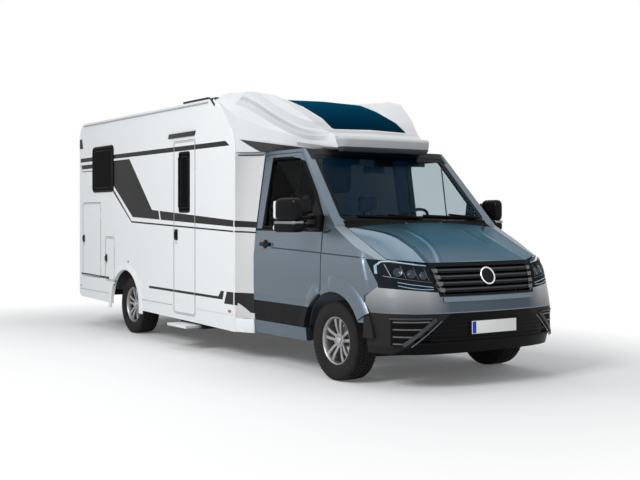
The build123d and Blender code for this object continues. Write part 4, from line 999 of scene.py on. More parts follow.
# ---------------------------------------------------------------- grille
GRILLE = ("grille",)
SLATS = (0.846, 0.900, 0.954, 1.008)
DISC_RING = [(-0.012, 0.084), (0.006, 0.084), (0.012, 0.080), (0.013, 0.074), (0.009, 0.068), (-0.012, 0.067)]
PLAIN_DISC = [(0.010, 0.0), (0.009, 0.040), (0.004, 0.068), (-0.01, 0.070), (-0.01, 0.0)]
FINS, FIN_FOOT, FIN_PITCH = 14, 0.660, 0.027


def slat_half(height):
    """Half the grille's width at a height."""
    return 0.556 + (height - 0.80) * 0.13


lines = [[(-slat_half(height), height + 0.006), (slat_half(height), height + 0.006)] for height in SLATS]
strips("grille_slat_edges", "slat", "cab_silver", GRILLE, "front", lines, 0.012, lift=0.0002, thick=0.002, step=0.04)
lines = [
    sided(side, [(0.492 + index * 0.012, height), (slat_half(height), height)])
    for side in (-1, 1) for index, height in enumerate(SLATS)
]
strips("grille_end_bars", "slat_end", "cab_silver", GRILLE, "front", lines, 0.031, lift=-0.001, thick=0.009, step=0.02)
low_hit, high_hit = (surface(GRILLE, "front", 0.0, height)[0] for height in (SLATS[1], SLATS[3]))
tilt = (high_hit - low_hit).normalized().cross(Vector((1, 0, 0)))
tilt = tilt if tilt.y < 0 else -tilt
for name, profile, finish, slot in (
    ("grille_disc_ring", DISC_RING, "chrome", "cab_silver"), ("grille_disc", PLAIN_DISC, "gloss_black", "plastic_black")
):
    round_part = bmesh.new()
    dished(round_part, profile, (low_hit + high_hit) / 2, tilt, 64)
    piece(name, round_part, finish)

radiator = bmesh.new()
block(radiator, (-0.47, at(-0.590), 0.640), (0.47, at(-0.560), 1.030), 0.004)
for side in (-1, 1):
    side_block(radiator, side, (0.465, 0.520), (-0.600, -0.550), (0.630, 1.040), 0.012, 3)
for index in range(FINS):
    height = FIN_FOOT + index * FIN_PITCH
    block(radiator, (-0.465, at(-0.594), height - 0.003), (0.465, at(-0.588), height + 0.003), 0.001, 1)
piece("radiator", radiator, "deep_black")

# ---------------------------------------------------------------- bumper
BUMPER = ("front_bumper",)
INTAKE_LEVEL = 0.605  # the height of the plain surface that parts laid over the intakes follow
INTAKE_SLATS = ((0.585, 0.665), (0.523, 0.730), (0.461, 0.800), (0.402, 0.865))  # height and inner end
INTAKE_OUTER = 0.925
INTAKE = ((0.860, 0.385), (0.935, 0.385), (0.935, 0.604), (0.630, 0.604))
GRID_ROWS = 6


def bumper_strips(name, finish, slot, *groups):
    """A piece of ribbons on the bumper, in groups of lines, width, lift, thickness, step and level."""
    mesh = bmesh.new()
    for lines, width, *laid in groups:
        for line in lines:
            ribbon(mesh, BUMPER, "front", line, width, *laid)
    piece(name, mesh, finish)


lines = [
    sided(side, [(start, height), (INTAKE_OUTER, height)]) for side in (-1, 1) for height, start in INTAKE_SLATS
]
bumper_strips("bumper_slats", "slat_end", "cab_silver", (lines, 0.012, -0.004, 0.010, 0.02, INTAKE_LEVEL))
bumper_strips("bumper_strips", "strip_grey", "plastic_black", *(group for side in (-1, 1) for group in (
    ([sided(side, [(0.612, 0.606), (0.868, 0.390)])], 0.030, -0.002, 0.014, 0.02, INTAKE_LEVEL),
    ([sided(side, [(0.645, 0.612), (0.940, 0.612)])], 0.014, 0.0, 0.010, 0.02, INTAKE_LEVEL),
)))
backing = bmesh.new()
for side in (-1, 1):
    drape(backing, BUMPER, "front", sided(side, INTAKE), (10, 4), -0.002, 0.004, INTAKE_LEVEL)
piece("bumper_intakes", backing, "deep_black")
lines = [sided(side, [(0.556, 0.590), (0.816, 0.376)]) for side in (-1, 1)]
bumper_strips(
    "bumper_bright_lines", "silver", "cab_silver", (lines, 0.007, 0.0, 0.007, 0.02, INTAKE_LEVEL),
    ([[(-0.80, 0.656), (0.80, 0.656)]], 0.008, 0.0, 0.008, 0.03),
)
bumper_strips("bumper_band", "silver", "cab_silver", ([[(-0.52, 0.765), (0.52, 0.765)]], 0.040, 0.0, 0.009, 0.03))
lines = []
for row in range(GRID_ROWS):
    height, half = 0.400 + row * 0.036, 0.780 - row * 0.046
    lines.append([(-half, height), (half, height)])
bumper_strips("bumper_grid", "black", "plastic_black", (lines, 0.006, 0.0, 0.003, 0.04, INTAKE_LEVEL))


def plate(name, middle_point, look, node):
    """A blank registration plate with a plain coloured end, on its holder."""
    spot, _ = surface((node,), look, *middle_point)
    out = -1 if look == "front" else 1
    x, z = middle_point
    for part, finish, near, far, (start, end), half_height, bevel in (
        ("_holder", "black", -0.010, 0.008, (-0.270, 0.270), 0.066, 0.004),
        ("", "plate", 0.006, 0.0115, (-0.260, 0.260), 0.055, 0.0015),
        ("_end", "plate_blue", 0.0105, 0.0122, (out * 0.214, out * 0.256), 0.051, 0.0006),
    ):
        mesh = bmesh.new()
        low_y, high_y = sorted((spot.y + out * near, spot.y + out * far))
        low_x, high_x = sorted((x + start, x + end))
        block(mesh, (low_x, low_y, z - half_height), (high_x, high_y, z + half_height), bevel)
        piece(f"{name}{part}", mesh, finish)


plate("front_plate", (0.0, 0.522), "front", "front_bumper")
plate("rear_plate", (0.0, 0.62), "rear", "rear_bumper")

# ---------------------------------------------------------------- windscreen, cowl and cabin
COWL_RIBS, COWL_PITCH = 26, 0.064
COWL_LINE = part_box("cowl")[0][1] + 0.055
wipers = bmesh.new()
for start, end in (((0.74, 1.452), (0.08, 1.474)), ((0.0, 1.452), (-0.68, 1.474))):
    ribbon(wipers, ("windscreen",), "front", [start, end], 0.016, 0.002, 0.012, 0.05)
    arm = [(start[0] + 0.06, 1.446), ((start[0] + end[0]) / 2, 1.480)]
    ribbon(wipers, ("windscreen",), "front", arm, 0.012, 0.012, 0.010, 0.05)
piece("wipers", wipers, "deep_black")
spots = [((-0.80 + index * COWL_PITCH, COWL_LINE), (0.040, 0.010), 0.004, 0.001, 0.001) for index in range(COWL_RIBS)]
seats("cowl_ribs", "black", ("cowl",), "top", spots)
inner = bmesh.new()
block(inner, (-0.13, at(0.74), 1.905), (0.13, at(0.77), 1.975), 0.014, 3)
block(inner, (-0.05, at(0.655), 1.965), (0.05, at(0.70), 2.035), 0.012, 3)
rod(inner, (0, at(0.70), 1.99), (0, at(0.75), 1.95), 0.008)
piece("inside_mirror", inner, "cabin")
for side, side_name in SIDES:
    visor = bmesh.new()
    side_block(visor, side, (0.20, 0.64), (0.72, 0.735), (1.985, 2.075), 0.010, 3)
    piece(f"{side_name}_sun_visor", visor, "cabin")
dash = bmesh.new()
block(dash, (0.27, at(0.40), 1.34), (0.60, at(0.56), 1.475), 0.03, 4)
block(dash, (-0.16, at(0.47), 1.30), (0.16, at(0.50), 1.46), 0.012, 3)
block(dash, (-0.75, at(0.30), 1.38), (-0.30, at(0.45), 1.425), 0.02, 3)
piece("dashboard_hoods", dash, "cabin")
dash = bmesh.new()
block(dash, (-0.14, at(0.499), 1.315), (0.14, at(0.503), 1.445), 0.002)
piece("dashboard_screen", dash, "gloss_black")

# ---------------------------------------------------------------- seats
SEAT_LOW, _ = corners_of("cab_seats")
SEAT_X = 0.44
SEAT_FRONT = SEAT_LOW.y
BOLSTER_REACH = 0.205
CLOTH_VOXEL = 0.007
CLOTH_PRESSURE = 4.0
CLOTH_FRAMES = 20
CLOTH_SWELL = 0.014  # the most that a cushion swells


def settle(thing, pressure):
    """Fills a cushion as cloth under pressure, and keeps the shape."""
    thing.modifiers.new("remesh", "REMESH").voxel_size = CLOTH_VOXEL
    bpy.context.view_layer.objects.active = thing
    thing.select_set(True)
    bpy.ops.object.modifier_apply(modifier="remesh")
    still = {vert.index: vert.co.copy() for vert in thing.data.vertices}
    cloth = thing.modifiers.new("cloth", "CLOTH")
    cloth.settings.use_pressure = True
    cloth.settings.uniform_pressure_force = pressure
    cloth.settings.effector_weights.gravity = 0
    cloth.settings.quality = 4
    scene = bpy.context.scene
    scene.frame_start, scene.frame_end = 1, CLOTH_FRAMES
    cloth.point_cache.frame_start, cloth.point_cache.frame_end = 1, CLOTH_FRAMES
    for number in range(1, CLOTH_FRAMES + 1):
        scene.frame_set(number)
    bpy.ops.object.modifier_apply(modifier="cloth")
    scene.frame_set(1)
    for vert in thing.data.vertices:
        shift = vert.co - still[vert.index]
        if shift.length > CLOTH_SWELL:
            vert.co = still[vert.index] + shift.normalized() * CLOTH_SWELL
    thing.select_set(False)


def cushion(name, middle_x, half_width, backs, heights, lean=0.0, replaced=False):
    """A seat cushion, leant back about its lower front edge and filled out like a real pad."""
    mesh = bmesh.new()
    low = Vector((middle_x - half_width, SEAT_FRONT + backs[0], heights[0]))
    high = Vector((middle_x + half_width, SEAT_FRONT + backs[1], heights[1]))
    pivot = Vector(((low.x + high.x) / 2, low.y, low.z))
    block(mesh, low, high, 0.035, 4)
    turn = Matrix.Translation(pivot) @ Matrix.Rotation(lean, 4, "X") @ Matrix.Translation(-pivot)
    bmesh.ops.transform(mesh, matrix=turn, verts=mesh.verts)
    made = piece(name, mesh, "fabric", smooth=60)
    settle(made, CLOTH_PRESSURE)
    for polygon in made.data.polygons:
        polygon.use_smooth = True
    surface_finish = made.modifiers.new("round", "SUBSURF")
    surface_finish.levels = surface_finish.render_levels = 1
    if replaced:
        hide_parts("cab_seats")
    return made


for side, side_name in SIDES:
    seat_x = side * SEAT_X
    cushion(f"{side_name}_seat_base", seat_x, 0.225, (0.012, 0.47), (0.800, 0.925), replaced=side == LEFT)
    for edge in (-1, 1):
        place_name = "outer" if edge == side else "inner"
        x = seat_x + edge * BOLSTER_REACH
        cushion(f"{side_name}_seat_bolster_{place_name}", x, 0.032, (0.03, 0.46), (0.815, 0.955))
    cushion(f"{side_name}_seat_back", seat_x, 0.215, (0.43, 0.53), (0.900, 1.500), -0.16)
    cushion(f"{side_name}_head_rest", seat_x, 0.120, (0.555, 0.630), (1.520, 1.695))
    base = bmesh.new()
    block(base, (seat_x - 0.19, SEAT_FRONT + 0.08, SEAT_LOW.z), (seat_x + 0.19, SEAT_FRONT + 0.44, 0.80), 0.012, 3)
    for offset in (-0.05, 0.05):
        x = seat_x + offset
        rod(base, (x, SEAT_FRONT + 0.585, 1.44), (x, SEAT_FRONT + 0.592, 1.56), 0.006)
    piece(f"{side_name}_seat_box", base, "cabin")

# ---------------------------------------------------------------- cab doors and mirrors
MIRROR_FRONT, MIRROR_DEPTH = 0.224, 0.259  # behind the axle, and from there to the back of the head
MIRROR_X = 1.274  # the middle of the mirror's glasses
FLARE_FOOT = 1.004  # where the front flare meets the wing
FLARE_THIN = 0.28  # how much of the flare is left beside the door's hinge
WAIST_WIDTH = 0.011


def narrowed(mesh, side):
    """Narrows a mirror's head towards its front, its inner side sloping outwards."""
    for corner in mesh.verts:
        share = (corner.co.y - at(MIRROR_FRONT)) / MIRROR_DEPTH
        corner.co.x = side * (1.222 + 0.037 * share + (abs(corner.co.x) - 1.259) * (0.58 + 0.42 * share))


def flare(name, side, body, inner, from_angle, to_angle, thin_angle, fade):
    """A part of the rounded flare round the front wheel's opening, thinning out towards an angle."""
    mesh = bmesh.new()
    shape = [(FLARE_FOOT, inner), (1.037, inner), (1.045, inner + 0.012), (1.046, inner + 0.035), (1.040, 0.545),
             (1.030, 0.577), (1.012, 0.600), (FLARE_FOOT, 0.600)]
    turned(mesh, sided(side, shape), (0, AXLE, TYRE_RADIUS), steps=28, sweep=math.radians(to_angle - from_angle),
           start=math.radians(from_angle))
    for corner in mesh.verts:
        angle = math.degrees(math.atan2(AXLE - corner.co.y, corner.co.z - TYRE_RADIUS))
        share = min(1.0, max(0.0, (angle - thin_angle) / fade))
        swell = FLARE_THIN + (1 - FLARE_THIN) * share * share * (3.0 - 2.0 * share)
        corner.co.x = side * (FLARE_FOOT + (abs(corner.co.x) - FLARE_FOOT) * swell)
    closed(mesh)
    piece(name, mesh, "silver", body, 50)


for side, side_name in SIDES:
    body = f"{side_name}_cab_door"
    door, pane, wing = (body,), (f"{side_name}_cab_door_pane", body), ("front_wings",)
    handle = bmesh.new()
    seated(handle, door, side_name, (at(1.205), 1.195), (0.190, 0.042), 0.034, 0.012, 0.004)
    place, normal = surface(door, side_name, at(1.215), 1.197)
    dished(handle, [(0.016, 0.0), (0.016, 0.030), (0.010, 0.042), (-0.004, 0.046), (-0.004, 0.0)], place, normal, 40)
    piece(f"{side_name}_cab_door_handle", handle, "gloss_black", body)
    cup = ((at(1.205), 1.190), (0.225, 0.075), 0.003, 0.001, 0.001)
    seats(f"{side_name}_cab_door_handle_cup", "silver", door, side_name, [cup], body)
    # painted shade: a dark strip along the pressed waist crease on the door and the wing stands in for the shadow in it
    line = behind([(1.09, 1.166), (0.222, 1.140)])
    strips(f"{side_name}_door_waist_line", "crease_shade_grey", "cab_silver", door, side_name, [line], WAIST_WIDTH, body,
           lift=0.0, thick=0.0015, step=0.05)
    waist = bmesh.new()
    # the lower ribbon is painted shade along the wing's waist crease
    ribbon(waist, wing, side_name, behind([(0.200, 1.139), (-0.420, 1.118)]), WAIST_WIDTH, 0.0, 0.0015, 0.05)
    ribbon(waist, wing, side_name, behind([(0.200, 1.330), (0.140, 1.332), (0.090, 1.350)]), 0.020, 0.0, 0.003, 0.03)
    piece(f"{side_name}_wing_waist_line", waist, "crease_shade_grey")
    sail = bmesh.new()
    outline = behind([(0.170, 1.352), (0.500, 1.352), (0.470, 1.400), (0.395, 1.640)])
    drape(sail, pane, side_name, outline, (6, 6), -0.002, 0.012)
    piece(f"{side_name}_mirror_sail", sail, "gloss_black", body)
    seal = bmesh.new()
    ribbon(seal, pane, side_name, behind([(0.25, 1.372), (1.29, 1.372)]), 0.014, 0.0, 0.006, 0.05)
    ribbon(seal, pane, side_name, behind([(0.742, 1.378), (0.742, 1.98)]), 0.016, 0.0, 0.003, 0.05)
    piece(f"{side_name}_cab_window_strips", seal, "black", body)
    housing = bmesh.new()
    side_block(housing, side, (1.180, 1.368), (MIRROR_FRONT, MIRROR_FRONT + MIRROR_DEPTH), (1.424, 1.645), 0.062, 6)
    side_block(housing, side, (1.180, 1.368), (0.240, 0.480), (1.329, 1.412), 0.030, 5)
    narrowed(housing, side)
    for heights in ((1.368, 1.402), (1.446, 1.480)):
        side_block(housing, side, (1.000, 1.190), (0.300, 0.385), heights, 0.014, 3)
    side_block(housing, side, (0.967, 1.034), (0.230, 0.420), (1.345, 1.500), 0.020, 4)
    made = piece(f"{side_name}_mirror_housing", housing, "gloss_black", body, 50)
    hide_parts(f"{side_name}_mirror")
    belt = bmesh.new()
    side_block(belt, side, (1.185, 1.362), (0.232, 0.476), (1.402, 1.432), 0.012, 3)
    narrowed(belt, side)
    piece(f"{side_name}_mirror_belt", belt, "belt", body, 50)
    glass = bmesh.new()
    for half_width, heights in ((0.070, (1.452, 1.617)), (0.074, (1.345, 1.396))):
        side_block(glass, side, (MIRROR_X - half_width, MIRROR_X + half_width), (0.479, 0.485), heights, 0.020, 4)
    piece(f"{side_name}_mirror_glass", glass, "mirror", body)
    flare(f"{side_name}_wing_flare", side, CHASSIS, 0.445, -20.5, 61.0, -13.0, 10.0)
    flare(f"{side_name}_door_flare", side, body, 0.470, -50.0, -26.0, -26.0, -8.0)

# ---------------------------------------------------------------- living body's sides
WINDOWS = ("body_windows", "right_wall", "left_wall")
REAR_WINDOW = [(4.880, 1.800), (5.565, 2.375)]
FRAME_WIDTH, SEAL_INSET, EDGE_INSET = 0.020, 0.045, 0.010
ARCH_INNER, ARCH_OUTER, ARCH_HALF_SWEEP = 0.4405, 0.525, 98
SERVICE_SEAM, SERVICE_FOOT = 4.806, 0.605  # the right arch lip stops here, clear of the service door
REAR_SKIRT_LINE = [(4.96, 0.470), (6.03, 0.478)]
SKIRT_LINES = {  # the left rear line lies there twice, in the same place
    RIGHT: ([(1.68, 0.452), (2.52, 0.452)], [(3.14, 0.456), (4.02, 0.462)], REAR_SKIRT_LINE),
    LEFT: ([(1.68, 0.452), (4.02, 0.462)], REAR_SKIRT_LINE, REAR_SKIRT_LINE),
}
ROOF_WEDGE = [(2.075, 2.738), (2.110, 2.640), (2.225, 2.738)]
TAIL_PANEL = [(5.945, 2.395), (6.066, 2.395), (6.066, 2.525), (5.985, 2.525)]
FRONT_EDGE = [(1.668, 0.460), (1.668, 1.0), (1.668, 1.6), (1.668, 2.174), (1.705, 2.31), (1.810, 2.452), (1.960, 2.589),
              (2.120, 2.715)]
CORNER_WRAP = [(1.0995, 1.668), (1.066, 1.560), (1.006, 1.445), (0.984, 1.445), (1.040, 1.560), (1.072, 1.668)]


def ring(mesh, nodes, look, low, high, width, radius, thick=0.005):
    """A rounded rectangular frame laid on a side."""
    (a0, b0), (a1, b1) = low, high
    points = []
    for ca, cb, begin in (
        (a1 - radius, b1 - radius, 0), (a0 + radius, b1 - radius, 90),
        (a0 + radius, b0 + radius, 180), (a1 - radius, b0 + radius, 270),
    ):
        for step in range(5):
            angle = math.radians(begin + step * 22.5)
            points.append((ca + radius * math.cos(angle), cb + radius * math.sin(angle)))
    points.append(points[0])
    ribbon(mesh, nodes, look, points, width, 0.0, thick, 0.12)


def inset(low, high, margin):
    """A rectangle's corners brought in by a margin."""
    return (low[0] + margin, low[1] + margin), (high[0] - margin, high[1] - margin)


def window_frame(name, look, corners, nodes=WINDOWS, body=CHASSIS):
    """The frame and the inner seal line of a hinged acrylic window."""
    corners = behind(corners)
    frame_mesh = bmesh.new()
    ring(frame_mesh, nodes, look, *corners, FRAME_WIDTH, 0.05, 0.006)
    piece(f"{name}_frame", frame_mesh, "black", body)
    seal = bmesh.new()
    ring(seal, nodes, look, *inset(*corners, SEAL_INSET), 0.004, 0.04, 0.0012)
    piece(f"{name}_seal", seal, "dark_grey", body)


window_frame("right_rear_window", "right", REAR_WINDOW)
window_frame("left_rear_window", "left", REAR_WINDOW)
window_frame("dinette_window", "left", [(2.665, 1.775), (3.295, 2.175)])
window_frame(
    "entrance_window", "right", [(2.700, 1.522), (2.972, 2.188)],
    ("entrance_door_pane", "entrance_door"), "entrance_door",
)


def paddle(name, look, middle_point, size, body, finish="dark_grey"):
    """A handle in its rounded surround, with its lock, on a side door."""
    (a, b), (width, height) = middle_point, size
    spots = (((at(a), b), size, 0.010, 0.004, 0.001), ((at(a), b), (width * 0.55, height * 0.62), 0.026, 0.006, 0.001))
    seats(name, finish, (body,), look, spots, body)
    key = bmesh.new()
    place, normal = surface((body,), look, at(a), b - height * 0.72)
    dished(key, [(-0.002, 0.014), (0.004, 0.014), (0.006, 0.011), (0.006, 0.003), (0.003, 0.0)], place, normal, 20)
    piece(f"{name}_lock", key, "satin", body)


paddle("entrance_handle", "right", (3.035, 1.262), (0.075, 0.125), "entrance_door", "gloss_black")
paddle("right_garage_handle", "right", (5.905, 1.165), (0.055, 0.100), "right_garage_door")
paddle("right_service_handle", "right", (5.105, 0.925), (0.055, 0.100), "right_service_door")
paddle("left_garage_handle", "left", (5.905, 0.930), (0.055, 0.100), "left_garage_door")

for name, body, look, corners in (
    ("entrance_door_edge", "entrance_door", "right", [(2.559, 0.375), (3.103, 2.317)]),
    ("right_garage_edge", "right_garage_door", "right", [(5.303, 0.663), (5.957, 1.647)]),
    ("right_service_edge", "right_service_door", "right", [(4.833, 0.639), (5.147, 1.197)]),
    ("left_garage_edge", "left_garage_door", "left", [(5.303, 0.663), (5.957, 1.197)]),
):
    mesh = bmesh.new()
    ring(mesh, (body,), look, *inset(*behind(corners), EDGE_INSET), 0.009, 0.030, 0.003)
    piece(name, mesh, "trim_grey", body)

for side, side_name in SIDES:
    wall = (f"{side_name}_wall",)
    skirt = ("side_skirts", *wall)
    rail = bmesh.new()
    side_block(rail, side, (1.094, 1.114), (2.25, 5.90), (2.690, 2.706), 0.004)
    piece(f"{side_name}_awning_rail", rail, "trim_grey")
    arch = bmesh.new()
    profile = [(1.096, ARCH_INNER), (1.110, ARCH_INNER), (1.116, ARCH_INNER + 0.008), (1.112, ARCH_OUTER - 0.012),
               (1.106, ARCH_OUTER), (1.096, ARCH_OUTER)]
    turned(arch, sided(side, profile), (0, REAR_AXLE, TYRE_RADIUS), steps=48, sweep=math.radians(2 * ARCH_HALF_SWEEP),
           start=math.radians(-ARCH_HALF_SWEEP))
    closed(arch)
    for corner in arch.verts:
        if side == RIGHT and corner.co.z > SERVICE_FOOT:
            corner.co.y = min(corner.co.y, at(SERVICE_SEAM))
    piece(f"{side_name}_rear_arch_lip", arch, "white_frame")
    # painted shade: thin grey strips along the skirt's crease stand in for the shadow under it
    lines = [behind(line) for line in SKIRT_LINES[side]]
    strips(f"{side_name}_skirt_shadow_line", "trim_grey", "body_white", wall, side_name, lines, 0.007, lift=0.0, thick=0.003,
           step=0.2)
    lamp = ((at(1.777), 0.490), (0.062, 0.026), 0.010, 0.004, 0.001)
    seats(f"{side_name}_marker_lamp", "marker", skirt, side_name, [lamp])
    red = bmesh.new()
    seated(red, wall, side_name, (at(4.400), 0.905), (0.050, 0.022), 0.006, 0.003, 0.001)
    seated(red, skirt, side_name, (at(6.020), 0.520), (0.030, 0.022), 0.006, 0.003, 0.001)
    piece(f"{side_name}_side_reflectors", red, "marker")
    strips(f"{side_name}_front_edge_profile", "white_frame", "body_white", (*wall, "side_skirts", "roof"), side_name,
           [behind(FRONT_EDGE)], 0.026, lift=0.0, thick=0.010, step=0.10)
    corner = bmesh.new()
    extruded(corner, [(side * a, at(b)) for a, b in CORNER_WRAP], "z", 0.288, 0.4295, 0.006)
    piece(f"{side_name}_corner_skirt", corner, "white_frame")
    for name, outline, outs, bevel, segments in (
        ("roof_corner_wedge", ROOF_WEDGE, (1.060, 1.106), 0.004, 2),
        ("high_tail_panel", TAIL_PANEL, (1.0985, 1.104), 0.001, 1),
    ):
        mesh = bmesh.new()
        extruded(mesh, behind(outline), "x", *sorted(side * out for out in outs), bevel, segments)
        piece(f"{side_name}_{name}", mesh, "dark_grey")

bar = bmesh.new()
extruded(bar, behind([(2.575, 2.362), (3.225, 2.362), (3.195, 2.412), (2.545, 2.412)]), "x", -1.118, -1.098, 0.003)
piece("entrance_light_bar", bar, "dark_grey")

# ---------------------------------------------------------------- corner panels and roof
HATCHES = (("front_hatch", 3.05, 0.70, 0.50), ("middle_hatch", 4.35, 0.40, 0.40), ("rear_hatch", 5.45, 0.40, 0.40))
HATCH_GAP, HATCH_CORNER, HATCH_RISE = 0.012, 0.03, 0.035
ROOF_BAR_X = 0.99

for side, side_name in SIDES:
    strips(f"{side_name}_corner_groove", "dark_grey", "gel_white", ("corner_panels",), side_name,
           [behind([(1.44, 2.10), (1.65, 2.10)])], 0.010, lift=0.0, thick=0.004)
    roof_bar = bmesh.new()
    side_block(roof_bar, side, (ROOF_BAR_X - 0.02, ROOF_BAR_X + 0.02), (2.45, 3.05), (2.752, 2.780), 0.008, 3)
    for back in (2.54, 2.96):
        outs = (ROOF_BAR_X - 0.016, ROOF_BAR_X + 0.016)
        side_block(roof_bar, side, outs, (back - 0.022, back + 0.022), (2.728, 2.756), 0.004)
    piece(f"{side_name}_roof_bar", roof_bar, "dark_grey")

for name, back, width, depth in HATCHES:
    mesh = bmesh.new()
    half_x, half_y = depth / 2 + HATCH_CORNER, width / 2 + HATCH_CORNER
    top = ROOF_TOP + HATCH_RISE
    for sign in (-1, 1):
        edge = sign * (depth / 2 + HATCH_GAP)
        block(mesh, (edge - 0.020, at(back) - half_y, ROOF_TOP), (edge + 0.020, at(back) + half_y, top), 0.008, 3)
        edge = at(back) + sign * (width / 2 + HATCH_GAP)
        block(mesh, (-half_x, edge - 0.020, ROOF_TOP), (half_x, edge + 0.020, top), 0.008, 3)
    piece(f"{name}_frame", mesh, "white_frame")
lines = [[(-1.08, at(back)), (1.08, at(back))] for back in (2.12, 6.03)]
strips("roof_seams", "white_frame", "body_white", ("roof",), "top", lines, 0.014, lift=0.0, thick=0.0025, step=0.3)

# ---------------------------------------------------------------- front panel over the windscreen
VISOR_LOW, VISOR_HIGH = corners_of("front_visor")
PANEL_FORWARD, PANEL_WIDER, PANEL_WRAP = 0.045, 0.024, 0.50
PANEL_FOOT, PANEL_BOW, PANEL_CUTS = 2.104, 0.020, 27
panel = bmesh.new()
face, rear = VISOR_LOW.y - PANEL_FORWARD, VISOR_HIGH.y
panel_half = VISOR_HIGH.x + PANEL_WIDER
side_view = [
    (rear + 0.035, PANEL_FOOT), (face + 0.030, 2.106), (face + 0.006, 2.132), (face, 2.150), (face + 0.002, 2.232),
    (face + 0.020, 2.252), (rear + 0.045, 2.264),
]
extruded(panel, side_view, "x", -0.5, 0.5)
bmesh.ops.scale(panel, verts=panel.verts, vec=(2 * panel_half, 1, 1))
for corner in panel.verts:
    corner.co.x *= 0.90 + 0.55 * (corner.co.z - PANEL_FOOT) * (0.10 / 0.15)
    corner.co.y += PANEL_BOW if corner.co.y < rear else 0.0
cross = [item for item in panel.edges if abs(item.verts[0].co.x - item.verts[1].co.x) > 0.5]
bmesh.ops.subdivide_edges(panel, edges=cross, cuts=PANEL_CUTS)
for corner in panel.verts:
    corner.co.y -= PANEL_BOW * (1 - (corner.co.x / panel_half) ** 2)
    corner.co.y += 5.0 * max(0.0, abs(corner.co.x) - PANEL_WRAP) ** 2
made = piece("front_panel", panel, "visor", smooth=40)
edge_finish = made.modifiers.new("edges", "BEVEL")
edge_finish.width, edge_finish.segments, edge_finish.limit_method = 0.004, 2, "ANGLE"
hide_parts("front_visor")

# ---------------------------------------------------------------- entrance step
STEP_RIBS, RIB_PITCH = 9, 0.022
step_low, step_high = corners_of("entrance_step")
step = bmesh.new()
for index in range(STEP_RIBS):
    x = step_low.x + (index + 1) * RIB_PITCH
    low = (x - 0.006, step_low.y + 0.02, step_high.z - 0.001)
    block(step, low, (x + 0.006, step_high.y - 0.02, step_high.z + 0.003), 0.001, 1)
piece("step_ribs", step, "tread_plate", "entrance_step")
lip = bmesh.new()
low = (step_low.x - 0.003, step_low.y + 0.004, step_low.z)
block(lip, low, (step_low.x + 0.008, step_high.y - 0.004, step_high.z + 0.004), 0.002)
piece("step_edge", lip, "tread_plate", "entrance_step")

# ---------------------------------------------------------------- rear end and underneath
LAMP_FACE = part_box("rear_bumper")[1][1]
GRAB_HEIGHT = 1.05
EXHAUST_X, EXHAUST_Z, EXHAUST_RADIUS = 0.30, 0.34, 0.028

for side, side_name in SIDES:
    for name, finish, x, half, proud, (low_z, high_z), bevel, segments in (
        ("rear_lens", "red", 0.900, 0.118, (0.0, 0.006), (0.582, 0.698), 0.004, 2),
        ("rear_turn_lens", "amber", 0.845, 0.035, (0.003, 0.009), (0.606, 0.674), 0.010, 3),
    ):
        lens = bmesh.new()
        low_y, high_y = (LAMP_FACE + part for part in proud)
        block(lens, (side * x - half, low_y, low_z), (side * x + half, high_y, high_z), bevel, segments)
        piece(f"{side_name}_{name}", lens, finish)
panel = bmesh.new()
ring(panel, ("rear_wall",), "rear", (-0.98, 0.90), (0.98, 2.30), 0.010, 0.08, 0.003)
piece("rear_panel_line", panel, "white_frame")
handle = bmesh.new()
for x in (-0.5, 0.5):
    rail_y = BODY_REAR + 0.024
    rod(handle, (x - 0.10, rail_y, GRAB_HEIGHT), (x + 0.10, rail_y, GRAB_HEIGHT), 0.009)
    for foot_x in (x - 0.095, x + 0.095):
        rod(handle, (foot_x, BODY_REAR - 0.002, GRAB_HEIGHT), (foot_x, BODY_REAR + 0.026, GRAB_HEIGHT), 0.007)
piece("rear_grab_rails", handle, "white_frame")
under = bmesh.new()
rod(under, (EXHAUST_X, at(0.35), EXHAUST_Z), (EXHAUST_X, at(2.6), EXHAUST_Z), EXHAUST_RADIUS, 16)
rod(under, (EXHAUST_X, at(2.6), EXHAUST_Z), (0.42, at(3.0), EXHAUST_Z), EXHAUST_RADIUS, 16)
block(under, (0.20, at(1.1), 0.29), (0.42, at(1.75), 0.40), 0.04, 4)
piece("exhaust", under, "steel")
under = bmesh.new()
rod(under, (0.0, at(0.2), 0.44), (0.0, at(0.8), 0.42), 0.035, 16)
piece("gearbox_cover", under, "engine")

# ---------------------------------------------------------------- studio
AMBIENT = 0.42
PAPER_LIFT = 0.08  # how far the floor goes to pure white beside the vehicle
PAPER_NEAR, PAPER_FAR = 0.7, 3.0  # from here to there off its footprint the floor goes to pure white
FLOOR_DROP = 0.0015
LAMPS = (  # name, place, aim, power and size
    ("key", (-9.5, -4.5, 7.5), (0, -0.2, 1.0), 720, 4.0),
    ("front", (4.0, -9.0, 5.0), (0, -2.0, 1.0), 45, 4.0),
    ("top", (0.0, 1.0, 9.0), (0, 0.5, 0), 190, 7.0),
)
EYE = (-6.240, -10.153, 1.489)
EYE_TURN = -33.774


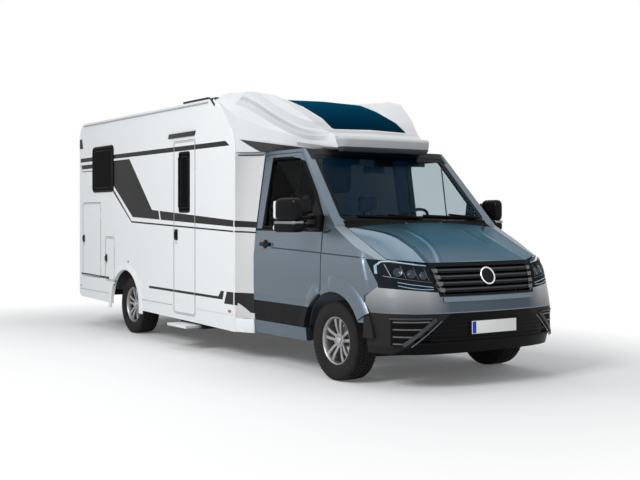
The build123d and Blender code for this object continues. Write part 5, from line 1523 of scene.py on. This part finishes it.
def surround():
    """A white surround for rays that the camera sees, and a softer one for the light it gives."""
    world = bpy.data.worlds.new("studio")
    bpy.context.scene.world = world
    world.use_nodes = True
    sky = Nodes(world.node_tree)
    bright = sky.node("ShaderNodeBackground", Color=(1.0, 1.0, 1.0), Strength=1.0)
    soft = sky.node("ShaderNodeBackground", Color=(0.94, 0.97, 1.0), Strength=AMBIENT)
    mixed = sky.node("ShaderNodeMixShader", places={0: sky.seen_rays(), 1: soft, 2: bright})
    sky.feed(world.node_tree.nodes["World Output"].inputs[0], mixed)


def paper_floor():
    """A pale floor that keeps the shadow and goes to white away from the vehicle."""
    mesh = bmesh.new()
    bmesh.ops.create_grid(mesh, x_segments=8, y_segments=8, size=60.0)
    bmesh.ops.translate(mesh, verts=mesh.verts, vec=(0, 0, -FLOOR_DROP))
    data = bpy.data.meshes.new("studio_floor")
    mesh.to_mesh(data)
    mesh.free()
    ground = bpy.data.objects.new("studio_floor", data)
    bpy.context.scene.collection.objects.link(ground)
    paint = Paint("floor_paper", Roughness=0.95, Specular_IOR_Level=0.05)
    x, back, _ = paint.place()
    beside = (abs(x) - 1.1).higher(0.0)
    beyond = (abs(back + AXLE) - 3.5).higher(0.0)
    off = ((beside * beside + beyond * beyond).root() - PAPER_NEAR) / (PAPER_FAR - PAPER_NEAR)
    far_off = off.maths("ADD", 0.0, clamp=True)
    paint.set("Base Color", paint.mix(paint.noise(3.0), (0.93, 0.93, 0.93), (0.95, 0.95, 0.95)))
    white = paint.node("ShaderNodeEmission", Color=(1.0, 1.0, 1.0), Strength=1.0)
    paint.blend((far_off * (1 - PAPER_LIFT) + PAPER_LIFT) * paint.seen_rays(), white)
    data.materials.append(paint.material)


def studio():
    """Soft lamps and the camera, with the floor and the surround."""
    scene = bpy.context.scene
    surround()
    paper_floor()
    for name, place, aim, power, size in LAMPS:
        light = bpy.data.lights.new(name, "AREA")
        light.energy = power
        light.size = size
        lamp = bpy.data.objects.new(name, light)
        scene.collection.objects.link(lamp)
        lamp.location = place
        lamp.rotation_euler = (Vector(aim) - Vector(place)).to_track_quat("-Z", "Y").to_euler()
    camera = bpy.data.cameras.new("camera")
    camera.lens = 57.77
    camera.sensor_width = 36
    camera.shift_y = -0.0394
    camera.clip_end = 200
    eye = bpy.data.objects.new("camera", camera)
    scene.collection.objects.link(eye)
    eye.location = EYE
    eye.rotation_euler = (math.radians(90), 0, math.radians(EYE_TURN))
    scene.camera = eye
    scene.view_settings.view_transform = "Standard"


studio()
